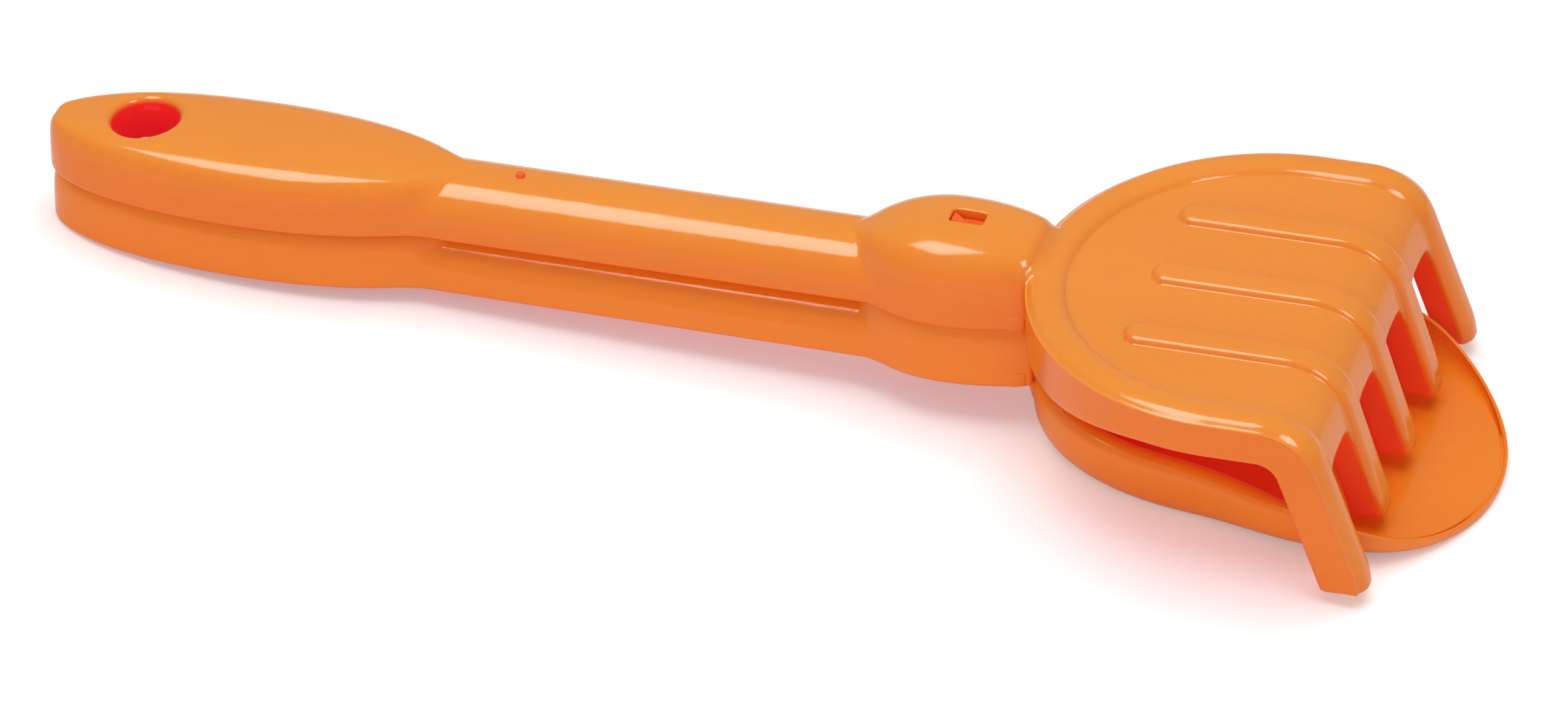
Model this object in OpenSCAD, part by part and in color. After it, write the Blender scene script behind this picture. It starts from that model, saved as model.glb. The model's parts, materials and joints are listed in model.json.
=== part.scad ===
// A toy sand rake nested on its matching scoop.
// Both tools are thin moulded shells, open underneath, and share one handle moulding.
// The tool frame runs along X from the grip's end, with Z square to the handle's lower edge.

/* [Stack] */
// Rise from the scoop's handle to the rake's handle when they are nested
nest_pitch = 16.8; // [16.4:0.1:19]
// Extra nose-up lean of the rake on the scoop, in degrees
rake_tilt = 0.45; // [0:0.05:0.6]
// Nose-up lean of the handles when the scoop lies on the floor, in degrees
lean = 2.8; // [2:0.1:3.6]
// Wall thickness of the handle shells
wall = 2; // [1.6:0.1:2.6]
// Clearance between pieces that clip together
fit = 0.2; // [0.1:0.05:0.4]
// Gap left where the rake rests on the scoop
rest_gap = 0.35; // [0.3:0.05:0.6]

/* [Grip] */
// Half width of the grip at its widest place
grip_half = 20.4; // [18:0.2:23]
// Distance from the grip's end to its widest place
grip_peak = 60; // [54:1:66]
// Length over which the grip would close again towards the shaft
grip_tail = 57; // [52:1:64]
// Height of the grip
grip_top = 18.2; // [17:0.2:19]
// Fall of the grip's top towards its end
grip_fall = 3.2; // [1:0.1:4]
// Distance from the grip's end to the hanging hole
hole_x = 27; // [25:0.2:32]
// Diameter of the hanging hole
hole_d = 18; // [15:0.5:19]

/* [Shaft] */
// Half width of the shaft
shaft_half = 13; // [11.5:0.1:14]
// Height of the shaft
shaft_top = 15.3; // [14:0.1:16]

/* [Ferrule] */
// Distance from the grip's end to the widest place of the ferrule
ferrule_x = 250; // [246:0.5:254]
// Half width of the ferrule
ferrule_half = 18.5; // [17.5:0.1:20]
// Height of the ferrule
ferrule_top = 23.2; // [22.4:0.1:24]
// Distance from the grip's end to the latch window
window_x = 253.6; // [250:0.2:256]
// Length of the latch window along the handle
window_l = 9; // [7:0.5:11]
// Width of the latch window
window_w = 5.6; // [4:0.1:7]

/* [Rake head] */
// Distance from the grip's end to the centre of the head's round rear
head_x = 333.3; // [330:0.1:336]
// Radius to the middle of the rim
rim_r = 57; // [54:0.1:59]
// Width of the rim and of the two outer tines
bead_w = 10.5; // [9:0.1:12]
// Width of the three inner tines
tine_w = 8.8; // [8:0.1:10]
// Width of the ribs on the plate
rib_w = 7.6; // [7:0.1:8]
// Height of the ribs above the plate
rib_h = 2.6; // [2:0.1:3]
// Height of the rim's crest above the handle's lower edge
rim_top = 16; // [15.2:0.1:17]
// Depth of the channels, from crest to open edge
bead_deep = 11.4; // [9.5:0.1:12]
// Depth of the plate below the rim's crest
plate_drop = 3.4; // [3:0.1:4.4]
// Spacing of the three ribs
rib_pitch = 27.5; // [26:0.1:28.5]
// Length of the straight rib on the plate
rib_l = 35; // [28:0.5:38]
// Straight stretch between the head's round rear and the bend
head_flat = 10.2; // [8:0.1:13]
// Radius of the bend along the crest
bend_r = 22; // [20:0.2:25]
// Angle that the plate turns through at the bend, in degrees
bend_a = 71; // [68:1:75]
// Drop from the handle's lower edge to the tips of the outer tines
tip_drop = 32.6; // [29:0.2:33]
// Extra height of the three inner tips above the outer ones
inner_lift = 2.6; // [2:0.2:6]

/* [Blade] */
// Length from the blade's rear to its tip
blade_l = 125; // [120:0.2:128]
// Distance from the head's round rear forward to the blade's rear
blade_set = 1; // [0.5:0.1:3]
// Half width of the blade at its lip
blade_half = 44; // [42:0.2:46]
// Distance from the tip back to the widest place
blade_nose = 46.5; // [42:0.5:52]
// Height of the lip above the floor along the sides and rear
lip_h = 19; // [17:0.2:20]
// Height of the lip at the tip
tip_h = 3.4; // [3.2:0.1:5]
// Thickness of the blade
blade_t = 2.2; // [1.8:0.1:2.6]

/* [Hidden] */
$fn = 96;
orange = [0.95, 0.56, 0.22];
deep_orange = [0.91, 0.49, 0.2];

// Rise of the rake over the scoop at a place along the handle
tilt_x = 150;
function pitch_at(x) = nest_pitch + (x - tilt_x) * tan(rake_tilt);
// Outer radius of the head's round rear, where the ferrule ends
head_r = rim_r + bead_w / 2;
// Radius at which the rake's ferrule ends on top of the rim
hood_r = rim_r - bead_w / 2;
// Radius of the round end where the scoop's ferrule meets the blade
blade_end_r = head_r - blade_set;
// Place where the bend starts, and the height of its axis
bend_x = head_x + head_flat;
bend_z = rim_top - bend_r;
rim_wall = 2;
crown_wall = 2.6;
// A tine starts a little inside the end of the bend and is a little slimmer there
tine_step = 0.15;
tine_lap = 1;
// Slope of the tines from the upright, in degrees
tine_a = 90 - bend_a;
// Distance along the tines from the bend's end to past the longest tip
tine_l = (bend_z + bend_r * cos(bend_a) + tip_drop) / cos(tine_a) + bead_deep;

// Blade's rear in the floor frame, at the level where it meets the ferrule
neck_z = 6;
blade_rear = (head_x - head_r + blade_set) * cos(lean) - neck_z * sin(lean);
blade_tip = blade_rear + blade_l;
blade_mid = blade_tip - blade_nose;
// Front and rear ends of the stack in the floor frame
grip_start = 0.3;
stack_rear = grip_start - (pitch_at(0) + grip_top_at(grip_start)) * sin(lean);
centre_x = (stack_rear + blade_tip) / 2;

// Tongue that clips into the ferrule
tongue_w = 15;
tongue_rear = window_x - window_l / 2 - 6;
tongue_low = max(2, ferrule_top - pitch_at(ferrule_x - 2) + rest_gap);
tongue_top = tongue_low + 9;
boss_r = hole_d / 2 + 2.4;
boss_low = max(1.2, grip_top - pitch_at(hole_x) + 1.4);
mouth_r = 3;
hole_top = grip_top_at(hole_x - boss_r);

// Number of steps round a handle's arch and along its two shaped ends
arch_n = 24;
grip_n = 24;
ferrule_n = 20;

// Half width of the grip in plan
function grip_at(x) =
    x < grip_peak
    ? grip_half * pow(1 - pow(1 - max(x, 0) / grip_peak, 2.2), 1 / 2.2)
    : grip_half * sqrt(max(0, 1 - pow((x - grip_peak) / grip_tail, 2)));

// Half width of the ferrule in plan: an egg, rounder towards the shaft
function ferrule_at(x) =
    let (reach = x < ferrule_x ? 27 : 37)
    ferrule_half * sqrt(max(0, 1 - pow((x - ferrule_x) / reach, 2)));

// Height of the grip, rounded over at its end and falling towards both ends
function grip_top_at(x) =
    let (
        round_end = pow(1 - pow(1 - min(1, x / 5), 4), 1 / 4),
        fall = grip_fall * pow(max(0, 1 - x / (0.8 * grip_peak)), 2.5),
        tail = pow(max(0, 1 - pow(max(0, x - grip_peak) / grip_tail, 2)), 0.09)
    )
    (grip_top - fall) * round_end * tail;

// Height of the ferrule: an egg towards the shaft, and a fall onto the head's rim
function ferrule_top_at(x) =
    x < ferrule_x
    ? ferrule_top * sqrt(max(0, 1 - pow((ferrule_x - x) / 34, 2)))
    : ferrule_top - 5.2 * pow((x - ferrule_x) / 31, 2.6);

// Distance from the axis to a flattened arch of half width w and height h
function arch(w, h, p, a) = 1 / pow(pow(abs(cos(a)) / w, p) + pow(sin(a) / h, p), 1 / p);

// The same arch with sides that lean in by a share k of the height
function drafted(w, h, p, k, a) =
    min(w, h) < 0.5 ? 0 : arch(w - k * arch(w, h, p, a) * sin(a), h, p, a);

// The handle's outline at x and angle a, with the wall taken off by t
function handle_r(x, a, t) =
    max(
        drafted(grip_at(x) - t, grip_top_at(x) - t, 5.5, 0.05, a),
        x > grip_peak ? arch(shaft_half - t, shaft_top - t, 2.25, a) : 0,
        drafted(ferrule_at(x) - t, ferrule_top_at(x) - t, 3.4, 0.06, a)
    );

// Places along the handle, close together at the grip's end and at the two creases
grip_end = grip_peak + grip_tail * 0.88;
ferrule_start = ferrule_x - 27;
handle_end = head_x - hood_r + 3;
function eased(i, n) = (1 - cos(180 * i / n)) / 2;
handle_xs = concat(
    [for (i = [0:grip_n]) grip_start + (grip_end - grip_start) * eased(i, grip_n)],
    [for (i = [0:ferrule_n])
        ferrule_start + (handle_end - ferrule_start) * pow(i / ferrule_n, 1.2)]
);

// One arch of points across the handle
function arch_points(x, t) =
    [for (j = [0:arch_n])
        let (a = 180 * j / arch_n, r = handle_r(x, a, t))
        [x, r * cos(a), j == 0 || j == arch_n ? 0 : r * sin(a)]];

// Inner places start one wall thickness in from the grip's end
function inner_x(x) =
    let (share = (x - grip_start) / (handle_end - grip_start))
    grip_start + wall + share * (handle_end - grip_start - wall);

// The handle's thin arch, closed at the grip's end
module handle_shell() {
    n = len(handle_xs);
    m = arch_n + 1;
    outer = [for (x = handle_xs) each arch_points(x, 0)];
    inner = [for (x = handle_xs) each arch_points(inner_x(x), wall)];
    k = n * m;
    skin = [for (i = [0:n - 2], j = [0:arch_n - 1])
        let (a = i * m + j, b = a + 1, c = a + m, d = c + 1)
        each [[a, c, b], [b, c, d], [k + a, k + b, k + c], [k + b, k + d, k + c]]];
    edges = [for (i = [0:n - 2])
        let (a = i * m, c = a + m, b = a + arch_n, d = c + arch_n)
        each [[a, k + c, c], [a, k + a, k + c], [b, d, k + d], [b, k + d, k + b]]];
    last = (n - 1) * m;
    front = [for (j = [0:arch_n - 1])
        let (a = last + j, b = a + 1)
        each [[a, k + b, b], [a, k + a, k + b]]];
    mid = arch_n / 2;
    caps = [for (j = [0:mid - 2])
        let (b = j + 1, c = arch_n - b, d = arch_n - j)
        each [[j, b, c, d], [k + d, k + c, k + b, k + j]]];
    rear = [
        [mid - 1, mid, mid + 1],
        [k + mid + 1, k + mid, k + mid - 1],
        [0, arch_n, k + arch_n, k]
    ];
    polyhedron(concat(outer, inner), concat(skin, edges, front, caps, rear), convexity = 8);
}

// Tube round the hanging hole, inside the grip
module hole_boss() {
    translate([hole_x, 0, boss_low])
        cylinder(r = boss_r, h = min(hole_top - 0.4, grip_top - wall + 0.5) - boss_low);
}

// The hanging hole with a rounded mouth
module hole_cut() {
    translate([hole_x, 0, -1])
        cylinder(d = hole_d, h = grip_top + 4);
    translate([hole_x, 0, hole_top - mouth_r])
        rotate_extrude()
            difference() {
                square([hole_d / 2 + mouth_r, mouth_r + 4]);
                translate([hole_d / 2 + mouth_r, 0])
                    circle(r = mouth_r);
            }
}

// Low webs across the grip, which rest on the grip of the tool below
module grip_webs() {
    for (x = [grip_peak - 10, grip_peak + 20])
        translate([x, -grip_at(x) + wall / 2 + 0.4, grip_top_at(x) - pitch_at(x) + rest_gap])
            cube([2.4, 2 * grip_at(x) - wall - 0.8, 4]);
}

// One handle, in the tool frame. Its front is trimmed round the head, to radius end_r
// below the height step_z and to radius top_r above it
module handle(end_r, top_r, step_z) {
    difference() {
        union() {
            handle_shell();
            hole_boss();
            grip_webs();
        }
        hole_cut();
        translate([window_x, 0, ferrule_top])
            cube([window_l, window_w, 4 * wall], center = true);
        translate([head_x, 0, -1])
            cylinder(r = end_r, h = step_z + 1);
        translate([head_x, 0, step_z - 1])
            cylinder(r = top_r, h = ferrule_top);
    }
}

// Tongue with a latch, which clips into the ferrule
module tongue(end_r) {
    latch_l = window_l - 2 * fit;
    latch_w = window_w - 2 * fit;
    difference() {
        translate([tongue_rear, -tongue_w / 2, tongue_low])
            cube([head_x - end_r + 1 - tongue_rear, tongue_w, tongue_top - tongue_low]);
        translate([tongue_rear - 1, -tongue_w / 2 + 2, tongue_low - 1])
            cube([head_x - end_r - tongue_rear, tongue_w - 4, tongue_top - tongue_low - 1]);
    }
    translate([window_x - latch_l / 2, latch_w / 2, tongue_top - 1])
        rotate([90, 0, 0])
            linear_extrude(latch_w)
                polygon([
                    [0, 0],
                    [latch_l, 0],
                    [latch_l, ferrule_top - tongue_top - 0.2],
                    [latch_l * 0.6, ferrule_top - tongue_top - 0.2]
                ]);
}

// Rounded crown of half width half, crest at the origin
module crown(half, r) {
    for (side = [-1, 1])
        translate([side * (half - r), -r])
            circle(r = r);
    translate([-half + r, -2 * r])
        square([2 * (half - r), 2 * r]);
}

// Section of an open channel of width w, crest at the origin, open edge at the given depth
module channel(w, deep) {
    r = w * 0.36;
    difference() {
        union() {
            crown(w / 2, r);
            translate([-w / 2, -deep])
                square([w, deep - r]);
        }
        translate([-w / 2 + rim_wall, -deep - 1])
            square([w - 2 * rim_wall, deep + 1 - crown_wall]);
    }
}

// Section of a low rib that stands on the plate, crest at the rim's crest level
module rib_section() {
    sink = plate_drop - rib_h;
    translate([0, -sink])
        intersection() {
            channel(rib_w, bead_deep);
            translate([-rib_w, -rib_h - rim_wall])
                square([2 * rib_w, rib_h + rim_wall]);
        }
}

// Section of the rim: the inner wall stops under the plate, the outer one goes on down
module rim_section() {
    difference() {
        channel(bead_w, bead_deep);
        translate([-bead_w, -bead_deep - 1])
            square([bead_w, bead_deep + 1 - plate_drop - rim_wall]);
    }
}

// Lays a section along X from x0 to x1 at the crest's height
module along(x0, x1, y) {
    translate([x0, y, rim_top])
        rotate([90, 0, 90])
            linear_extrude(x1 - x0)
                children();
}

// Turns a section down round the bend
module round_bend() {
    translate([bend_x, 0, bend_z])
        rotate([-90, 0, 0])
            rotate([0, 0, -90])
                rotate_extrude(angle = bend_a)
                    translate([bend_r, 0])
                        rotate(-90)
                            children();
}

// Runs a section down the slope of a tine
module down_tine(y) {
    translate([bend_x + bend_r * sin(bend_a), y, bend_z + bend_r * cos(bend_a)])
        rotate([0, bend_a, 0])
            rotate([90, 0, 90])
                translate([0, -tine_step, -tine_lap])
                    linear_extrude(tine_l)
                        children();
}

// Straight stretch of a tine of width w, cut level at the tip with a small front bevel
module tine(y, w, lift) {
    tip_z = lift - tip_drop;
    tip_x = bend_x + bend_r * sin(bend_a) + (bend_z + bend_r * cos(bend_a) - tip_z) * tan(tine_a);
    difference() {
        down_tine(y)
            channel(w - 2 * tine_step, bead_deep - 2 * tine_step);
        translate([bend_x, y - bead_w, tip_z - 40])
            cube([80, 2 * bead_w, 40]);
        translate([tip_x, y - bead_w, tip_z])
            rotate([0, 40, 0])
                translate([-1.4, 0, -20])
                    cube([20, 2 * bead_w, 40]);
    }
}

// The bend: five channels with the plate between them, opened by four round-topped gaps
module bend() {
    difference() {
        round_bend() {
            for (i = [0:4])
                translate([rows[i], 0])
                    channel(widths[i], bead_deep);
            for (span = gap_spans)
                translate([span[0], -plate_drop - rim_wall])
                    square([span[1] - span[0], rim_wall]);
        }
        for (span = gap_spans)
            gap_arch((span[0] + span[1]) / 2, (span[1] - span[0] - rim_wall) / 2 - 0.8);
    }
}

// The rim: a half ring at the rear and a straight stretch on each side
module rim() {
    translate([head_x, 0, rim_top])
        rotate([0, 0, 90])
            rotate_extrude(angle = 180)
                translate([rim_r, 0])
                    rim_section();
    for (side = [-1, 1])
        along(head_x, bend_x, side * rim_r)
            mirror([side < 0 ? 1 : 0, 0])
                rim_section();
}

// A raised rib with a round end
module rib(y) {
    rib_x = bend_x - rib_l;
    along(rib_x, bend_x, y)
        rib_section();
    translate([rib_x, y, rim_top])
        rotate([0, 0, 90])
            rotate_extrude(angle = 180)
                intersection() {
                    rib_section();
                    translate([0, -bead_deep])
                        square([bead_w, 2 * bead_deep]);
                }
}

// Plan of the hollow under a rib, where the plate is open
module rib_hollow(y) {
    rib_x = bend_x - rib_l;
    half = (rib_w - rim_wall) / 2;
    translate([rib_x, y])
        circle(r = half);
    translate([rib_x, y - half])
        square([rib_l, 2 * half]);
}

// The flat plate inside the rim
module plate() {
    inner_r = rim_r - (bead_w - rim_wall) / 2;
    translate([0, 0, rim_top - plate_drop - rim_wall])
        linear_extrude(rim_wall)
            difference() {
                union() {
                    circle_part(inner_r);
                    translate([head_x, -inner_r])
                        square([head_flat, 2 * inner_r]);
                }
                for (k = [-1:1])
                    rib_hollow(k * rib_pitch);
            }
}

// Round rear half of the plate
module circle_part(r) {
    translate([head_x, 0])
        intersection() {
            circle(r = r);
            translate([-r, -r])
                square([r, 2 * r]);
        }
}

// The four gaps between the tines, each from one channel's wall to the next
rows = [-rim_r, -rib_pitch, 0, rib_pitch, rim_r];
widths = [bead_w, tine_w, tine_w, tine_w, bead_w];
gap_spans = [for (i = [0:3])
    [rows[i] + (widths[i] - rim_wall) / 2, rows[i + 1] - (widths[i + 1] - rim_wall) / 2]];

// Round-topped cut that opens a gap upwards from the tines
module gap_arch(y, half) {
    translate([bend_x + 4, y, bend_z + bend_r * cos(bend_a) - half + 1])
        rotate([0, 90, 0])
            cylinder(r = half, h = bend_r + 10);
    translate([bend_x + 4, y - half, bend_z - 20])
        cube([bend_r + 10, 2 * half, 20 + bend_r * cos(bend_a) - half + 1]);
}

// The rake's head, in the tool frame
module rake_head_shape() {
    difference() {
        rim();
        translate([head_x - head_r - 1, -tongue_w / 2 - 1, 0])
            cube([bead_w, tongue_w + 2, tongue_low]);
    }
    plate();
    bend();
    for (k = [-1:1]) {
        rib(k * rib_pitch);
        tine(k * rib_pitch, tine_w, inner_lift);
    }
    for (side = [-1, 1])
        tine(side * rim_r, bead_w, 0);
    tongue(head_r);
}

// A point of a rounded outline with its own roundness behind and ahead of the widest place
function blade_ring(a, rear, side, nose, p_rear, p_nose) =
    let (
        p = cos(a) > 0 ? p_nose : p_rear,
        l = cos(a) > 0 ? nose : rear,
        r = 1 / pow(pow(abs(cos(a)) / l, p) + pow(abs(sin(a)) / side, p), 1 / p)
    )
    [blade_mid + r * cos(a), r * sin(a)];

// Height of the lip over a point of the outline
function lip_at(x) =
    let (u = min(1, max(0, (blade_tip + 1 - x) / 50)))
    tip_h + (lip_h - tip_h) * u * u * (3 - 2 * u);

// One ring of the blade's skin, at a share s of the wall's height, inset by t
blade_n = 72;
function blade_points(s, t, base) =
    let (bow = 1 - pow(1 - s, 2.2))
    [for (j = [0:blade_n - 1])
        let (
            a = 360 * j / blade_n,
            rear = blade_l - blade_nose - 1.4 * (1 - bow) - t,
            side = blade_half - 8.2 * (1 - bow) - t,
            nose = blade_nose - 0.6 * (1 - bow) - t,
            p = blade_ring(a, rear, side, nose, 2.4, 2.6 - 0.5 * bow),
            lip = lip_at(blade_ring(a, blade_l - blade_nose, blade_half, blade_nose, 2.4, 2.1)[0])
        )
        [p[0], p[1], base + (lip - base) * s]];

// The scoop: a flat floor with a wall that rises and flares to the lip
module scoop() {
    steps = [0, 0.06, 0.16, 0.32, 0.55, 0.8, 1];
    outer = [for (s = steps) blade_points(s, 0, 0)];
    inner = [for (i = [len(steps) - 1:-1:0]) blade_points(steps[i], blade_t, blade_t)];
    rings = concat(outer, inner);
    n = len(rings);
    skin = [for (i = [0:n - 2], j = [0:blade_n - 1])
        let (a = i * blade_n + j, b = i * blade_n + (j + 1) % blade_n, c = a + blade_n, d = b + blade_n)
        each [[a, c, b], [b, c, d]]];
    floor_face = [for (j = [0:blade_n - 1]) j];
    top_face = [for (j = [blade_n - 1:-1:0]) (n - 1) * blade_n + j];
    polyhedron([for (r = rings) each r], concat(skin, [floor_face, top_face]), convexity = 6);
}

// Raised neck at the blade's rear, shaped like the end of the ferrule
module neck() {
    intersection() {
        difference() {
            translate([head_x, 0, -4])
                cylinder(r = blade_end_r, h = tongue_top + 4);
            translate([head_x, 0, -5])
                cylinder(r = blade_end_r - 3, h = tongue_top + 6);
        }
        translate([head_x - head_r - 1, -tongue_w / 2 - 3, -4])
            cube([8, tongue_w + 6, tongue_top + 4]);
    }
    tongue(blade_end_r);
}

// Stands a shape from the tool frame on the floor
module place() {
    translate([-centre_x, 0, 0])
        rotate([0, -lean, 0])
            children();
}

// Lifts a shape from the scoop's tool frame to the rake's
module nest() {
    translate([tilt_x, 0, nest_pitch])
        rotate([0, -rake_tilt, 0])
            translate([-tilt_x, 0, 0])
                children();
}

module rake_handle() {
    color(orange)
        place()
            nest()
                handle(head_r + fit, hood_r, rim_top + fit);
}

module rake_head() {
    color(orange)
        place()
            nest()
                rake_head_shape();
}

module shovel_handle() {
    color(deep_orange)
        place()
            handle(blade_end_r + fit, blade_end_r + fit, rim_top);
}

module shovel_blade() {
    color(deep_orange) {
        translate([-centre_x, 0, 0])
            scoop();
        place()
            neck();
    }
}

rake_handle();
rake_head();
shovel_handle();
shovel_blade();
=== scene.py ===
# %% [markdown]
# # A toy sand rake nested on its scoop
# Two thin glossy mouldings lie one over the other. The scoop rests on the floor, and the rake sits on
# top of it with its handle over the scoop's handle. This lesson rebuilds both tools as smooth skins,
# gives each skin a wall, and lights the pair on a white table.
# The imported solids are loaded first. They are the frame: every new piece takes its place from them.

# %% Load the frame
import json

import bpy
import numpy as np
from mathutils import Matrix, Vector

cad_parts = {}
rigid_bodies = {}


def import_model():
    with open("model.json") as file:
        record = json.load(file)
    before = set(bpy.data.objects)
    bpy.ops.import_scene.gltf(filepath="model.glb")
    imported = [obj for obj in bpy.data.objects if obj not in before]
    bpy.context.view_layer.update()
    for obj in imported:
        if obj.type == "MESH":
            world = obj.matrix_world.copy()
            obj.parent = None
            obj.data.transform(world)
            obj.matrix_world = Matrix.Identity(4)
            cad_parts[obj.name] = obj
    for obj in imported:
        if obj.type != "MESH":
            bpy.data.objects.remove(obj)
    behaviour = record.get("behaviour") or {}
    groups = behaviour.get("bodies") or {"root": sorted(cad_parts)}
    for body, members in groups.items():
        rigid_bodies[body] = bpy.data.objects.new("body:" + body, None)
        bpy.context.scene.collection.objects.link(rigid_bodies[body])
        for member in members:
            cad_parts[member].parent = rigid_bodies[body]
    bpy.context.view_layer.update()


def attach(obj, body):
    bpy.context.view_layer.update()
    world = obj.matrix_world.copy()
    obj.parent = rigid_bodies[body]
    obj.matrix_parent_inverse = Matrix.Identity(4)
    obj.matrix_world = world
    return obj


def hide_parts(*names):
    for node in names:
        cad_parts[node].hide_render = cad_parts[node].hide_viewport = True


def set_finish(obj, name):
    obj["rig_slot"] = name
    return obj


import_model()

# %% [markdown]
# ## Two frames, one floor
# A tool is easiest to describe lying flat, with X along its handle and Z square to the handle's lower
# edge, in millimetres. On the floor the handles lean up a little towards the heads, and the rake lies
# higher and leans a little more. It could be done with turned objects, but a baked pattern would then
# slide, so the turn is worked out on the points and every object stays at the origin.

# %% From a tool's own frame to the floor
LEAN, RAKE_TILT = np.radians(2.8), np.radians(0.45)
TILT_X, NEST_PITCH, CENTRE_X = 150.0, 16.8, 197.733
MM_PER_M = 1000


def turned_up(x, z, angle):
    """Turn X towards Z by an angle."""
    return x * np.cos(angle) - z * np.sin(angle), x * np.sin(angle) + z * np.cos(angle)


def to_floor(points, nested):
    """Points of a tool in millimetres become points of the shared frame in metres.
    The rake is first tilted about TILT_X and lifted onto the scoop, then both lean up."""
    x, y, z = np.moveaxis(points, -1, 0)
    if nested:
        x, z = turned_up(x - TILT_X, z, RAKE_TILT)
        x, z = x + TILT_X, z + NEST_PITCH
    x, z = turned_up(x, z, LEAN)
    return np.stack([x - CENTRE_X, y, z], -1) / MM_PER_M


print("the rake's lower edge at TILT_X, in metres:", to_floor(np.array([TILT_X, 0.0, 0.0]), True))

# %% [markdown]
# ## From grids of points to a moulding with a wall
# A moulding is a sheet of even thickness that follows one outer shape. The Solidify modifier can give a
# sheet a wall, but here the wall thins out in places and every open edge is fully rounded, as on a real
# moulding, so the wall is worked out with arrays: each point is copied inwards along its normal, and
# each open edge gets a half round that joins the outer skin to the inner one. Each point also gets a
# number called glow, which says how much it lies inside, where light arrives through the plastic. The
# glow is painted light: the material mixes red into the colour by it and adds a faint emission.

# %% Grids of points, and how they are joined
WELD_DIGITS, TINY, SHARP_ANGLE = 3, 1e-12, np.radians(50)


def grid_quads(rows, cols, wrap=False):
    """Quads of a grid of points counted row by row; wrap joins the last column to the first."""
    i, j = np.meshgrid(np.arange(rows - 1), np.arange(cols if wrap else cols - 1), indexing="ij")
    a, b = i * cols + j, i * cols + (j + 1) % cols
    return np.stack([a, b, b + cols, a + cols], -1).reshape(-1, 4)


def as_part(grid, wrap=False):
    """A grid of points, row by column, as one list of points and its quads."""
    return grid.reshape(-1, 3), grid_quads(*grid.shape[:2], wrap)


def weld(parts):
    """Join several (points, quads) into one, with points that share a place made one point."""
    counts = np.cumsum([0] + [len(p) for p, _ in parts])
    points = np.concatenate([p for p, _ in parts])
    quads = np.concatenate([q + c for (_, q), c in zip(parts, counts)])
    places = np.round(points, WELD_DIGITS)
    _, first, place = np.unique(places, axis=0, return_index=True, return_inverse=True)
    return points[first], place.reshape(-1)[quads]


def point_normals(points, quads):
    """Normal at each point: the sum of the crossed diagonals of the quads round it, made unit length."""
    p = points[quads]
    face = np.cross(p[:, 2] - p[:, 0], p[:, 3] - p[:, 1])
    normal = np.zeros_like(points)
    np.add.at(normal, quads.reshape(-1), np.repeat(face, 4, axis=0))
    return normal / np.maximum(np.linalg.norm(normal, axis=1, keepdims=True), TINY)


def open_edges(quads, count):
    """Edges, in the direction of their quad, that no second quad shares."""
    edges = np.stack([quads, np.roll(quads, -1, axis=1)], -1).reshape(-1, 2)
    edges = edges[edges[:, 0] != edges[:, 1]]
    there, back = edges[:, 0] * count + edges[:, 1], edges[:, 1] * count + edges[:, 0]
    return edges[~np.isin(there, back)]


print("open edges of a grid of 3 by 4 points:", len(open_edges(grid_quads(3, 4), 12)))

# %% A wall with round edges
def walled(points, quads, wall, glow=0.0, steps=6):
    """Give a skin a wall. The inner skin is the outer one moved inwards by wall along the normals.
    An open edge gets a half round: from the outer point, out across the edge, to the inner point.
    The third result is each point's glow: the given one outside, 1 inside, and rising round an edge."""
    normal = point_normals(points, quads)
    inner = points - normal * np.broadcast_to(wall, (len(points),))[:, None]
    edges = open_edges(quads, len(points))
    rim, place = np.unique(edges, return_inverse=True)
    place = place.reshape(-1, 2)
    across = np.cross(points[edges[:, 1]] - points[edges[:, 0]], normal[edges].sum(1))
    out = np.zeros((len(rim), 3))
    np.add.at(out, place.reshape(-1), np.repeat(across, 2, axis=0))
    out -= normal[rim] * (out * normal[rim]).sum(1, keepdims=True)
    out /= np.maximum(np.linalg.norm(out, axis=1, keepdims=True), TINY)
    middle, half = (points[rim] + inner[rim]) / 2, (points[rim] - inner[rim]) / 2
    turn = np.pi * np.arange(1, steps)[:, None, None] / steps
    size = np.linalg.norm(half, axis=1, keepdims=True)
    round_rows = middle + half * np.cos(turn) + out * size * np.sin(turn)
    count = len(points)
    ids = 2 * count + np.arange((steps - 1) * len(rim)).reshape(steps - 1, len(rim))
    ids = np.concatenate([rim[None], ids, rim[None] + count])
    a, b = ids[:, place[:, 0]], ids[:, place[:, 1]]
    strip = np.stack([b[:-1], a[:-1], a[1:], b[1:]], -1).reshape(-1, 4)
    everything = np.concatenate([points, inner, round_rows.reshape(-1, 3)])
    outer = np.broadcast_to(glow, (count,))
    rim_glow = outer[rim] + (1 - outer[rim]) * np.arange(1, steps)[:, None] / steps
    glow = np.concatenate([outer, np.ones(count), rim_glow.reshape(-1)])
    return everything, np.concatenate([quads, quads[:, ::-1] + count, strip]), glow


# %% Put a piece into the scene
def placed(name, data):
    """A new object of some data, linked into the scene."""
    made = bpy.data.objects.new(name, data)
    bpy.context.scene.collection.objects.link(made)
    return made


def put_piece(name, points, quads, glow, body, slot, replaced=()):
    """Put points, quads and glow into a mesh object. A quad with two equal corners becomes a triangle."""
    same = quads == np.roll(quads, -1, axis=1)
    bent = same.sum(1) == 1
    faces = quads[~same.any(1)].tolist() + quads[bent][~same[bent]].reshape(-1, 3).tolist()
    mesh = bpy.data.meshes.new(name)
    mesh.from_pydata(points.tolist(), [], faces)
    share = np.broadcast_to(glow, len(points)).astype("f4")
    mesh.attributes.new("glow", "FLOAT", "POINT").data.foreach_set("value", share)
    mesh.validate()
    mesh.shade_smooth()
    mesh.set_sharp_from_angle(angle=SHARP_ANGLE)
    piece = placed(name, mesh)
    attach(piece, body)
    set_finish(piece, slot)
    if replaced:
        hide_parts(*replaced)
    mesh.calc_loop_triangles()
    size = np.round(np.ptp(points, axis=0) * MM_PER_M, 1)
    print(name, "triangles:", len(mesh.loop_triangles), "size in mm:", size)


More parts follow.
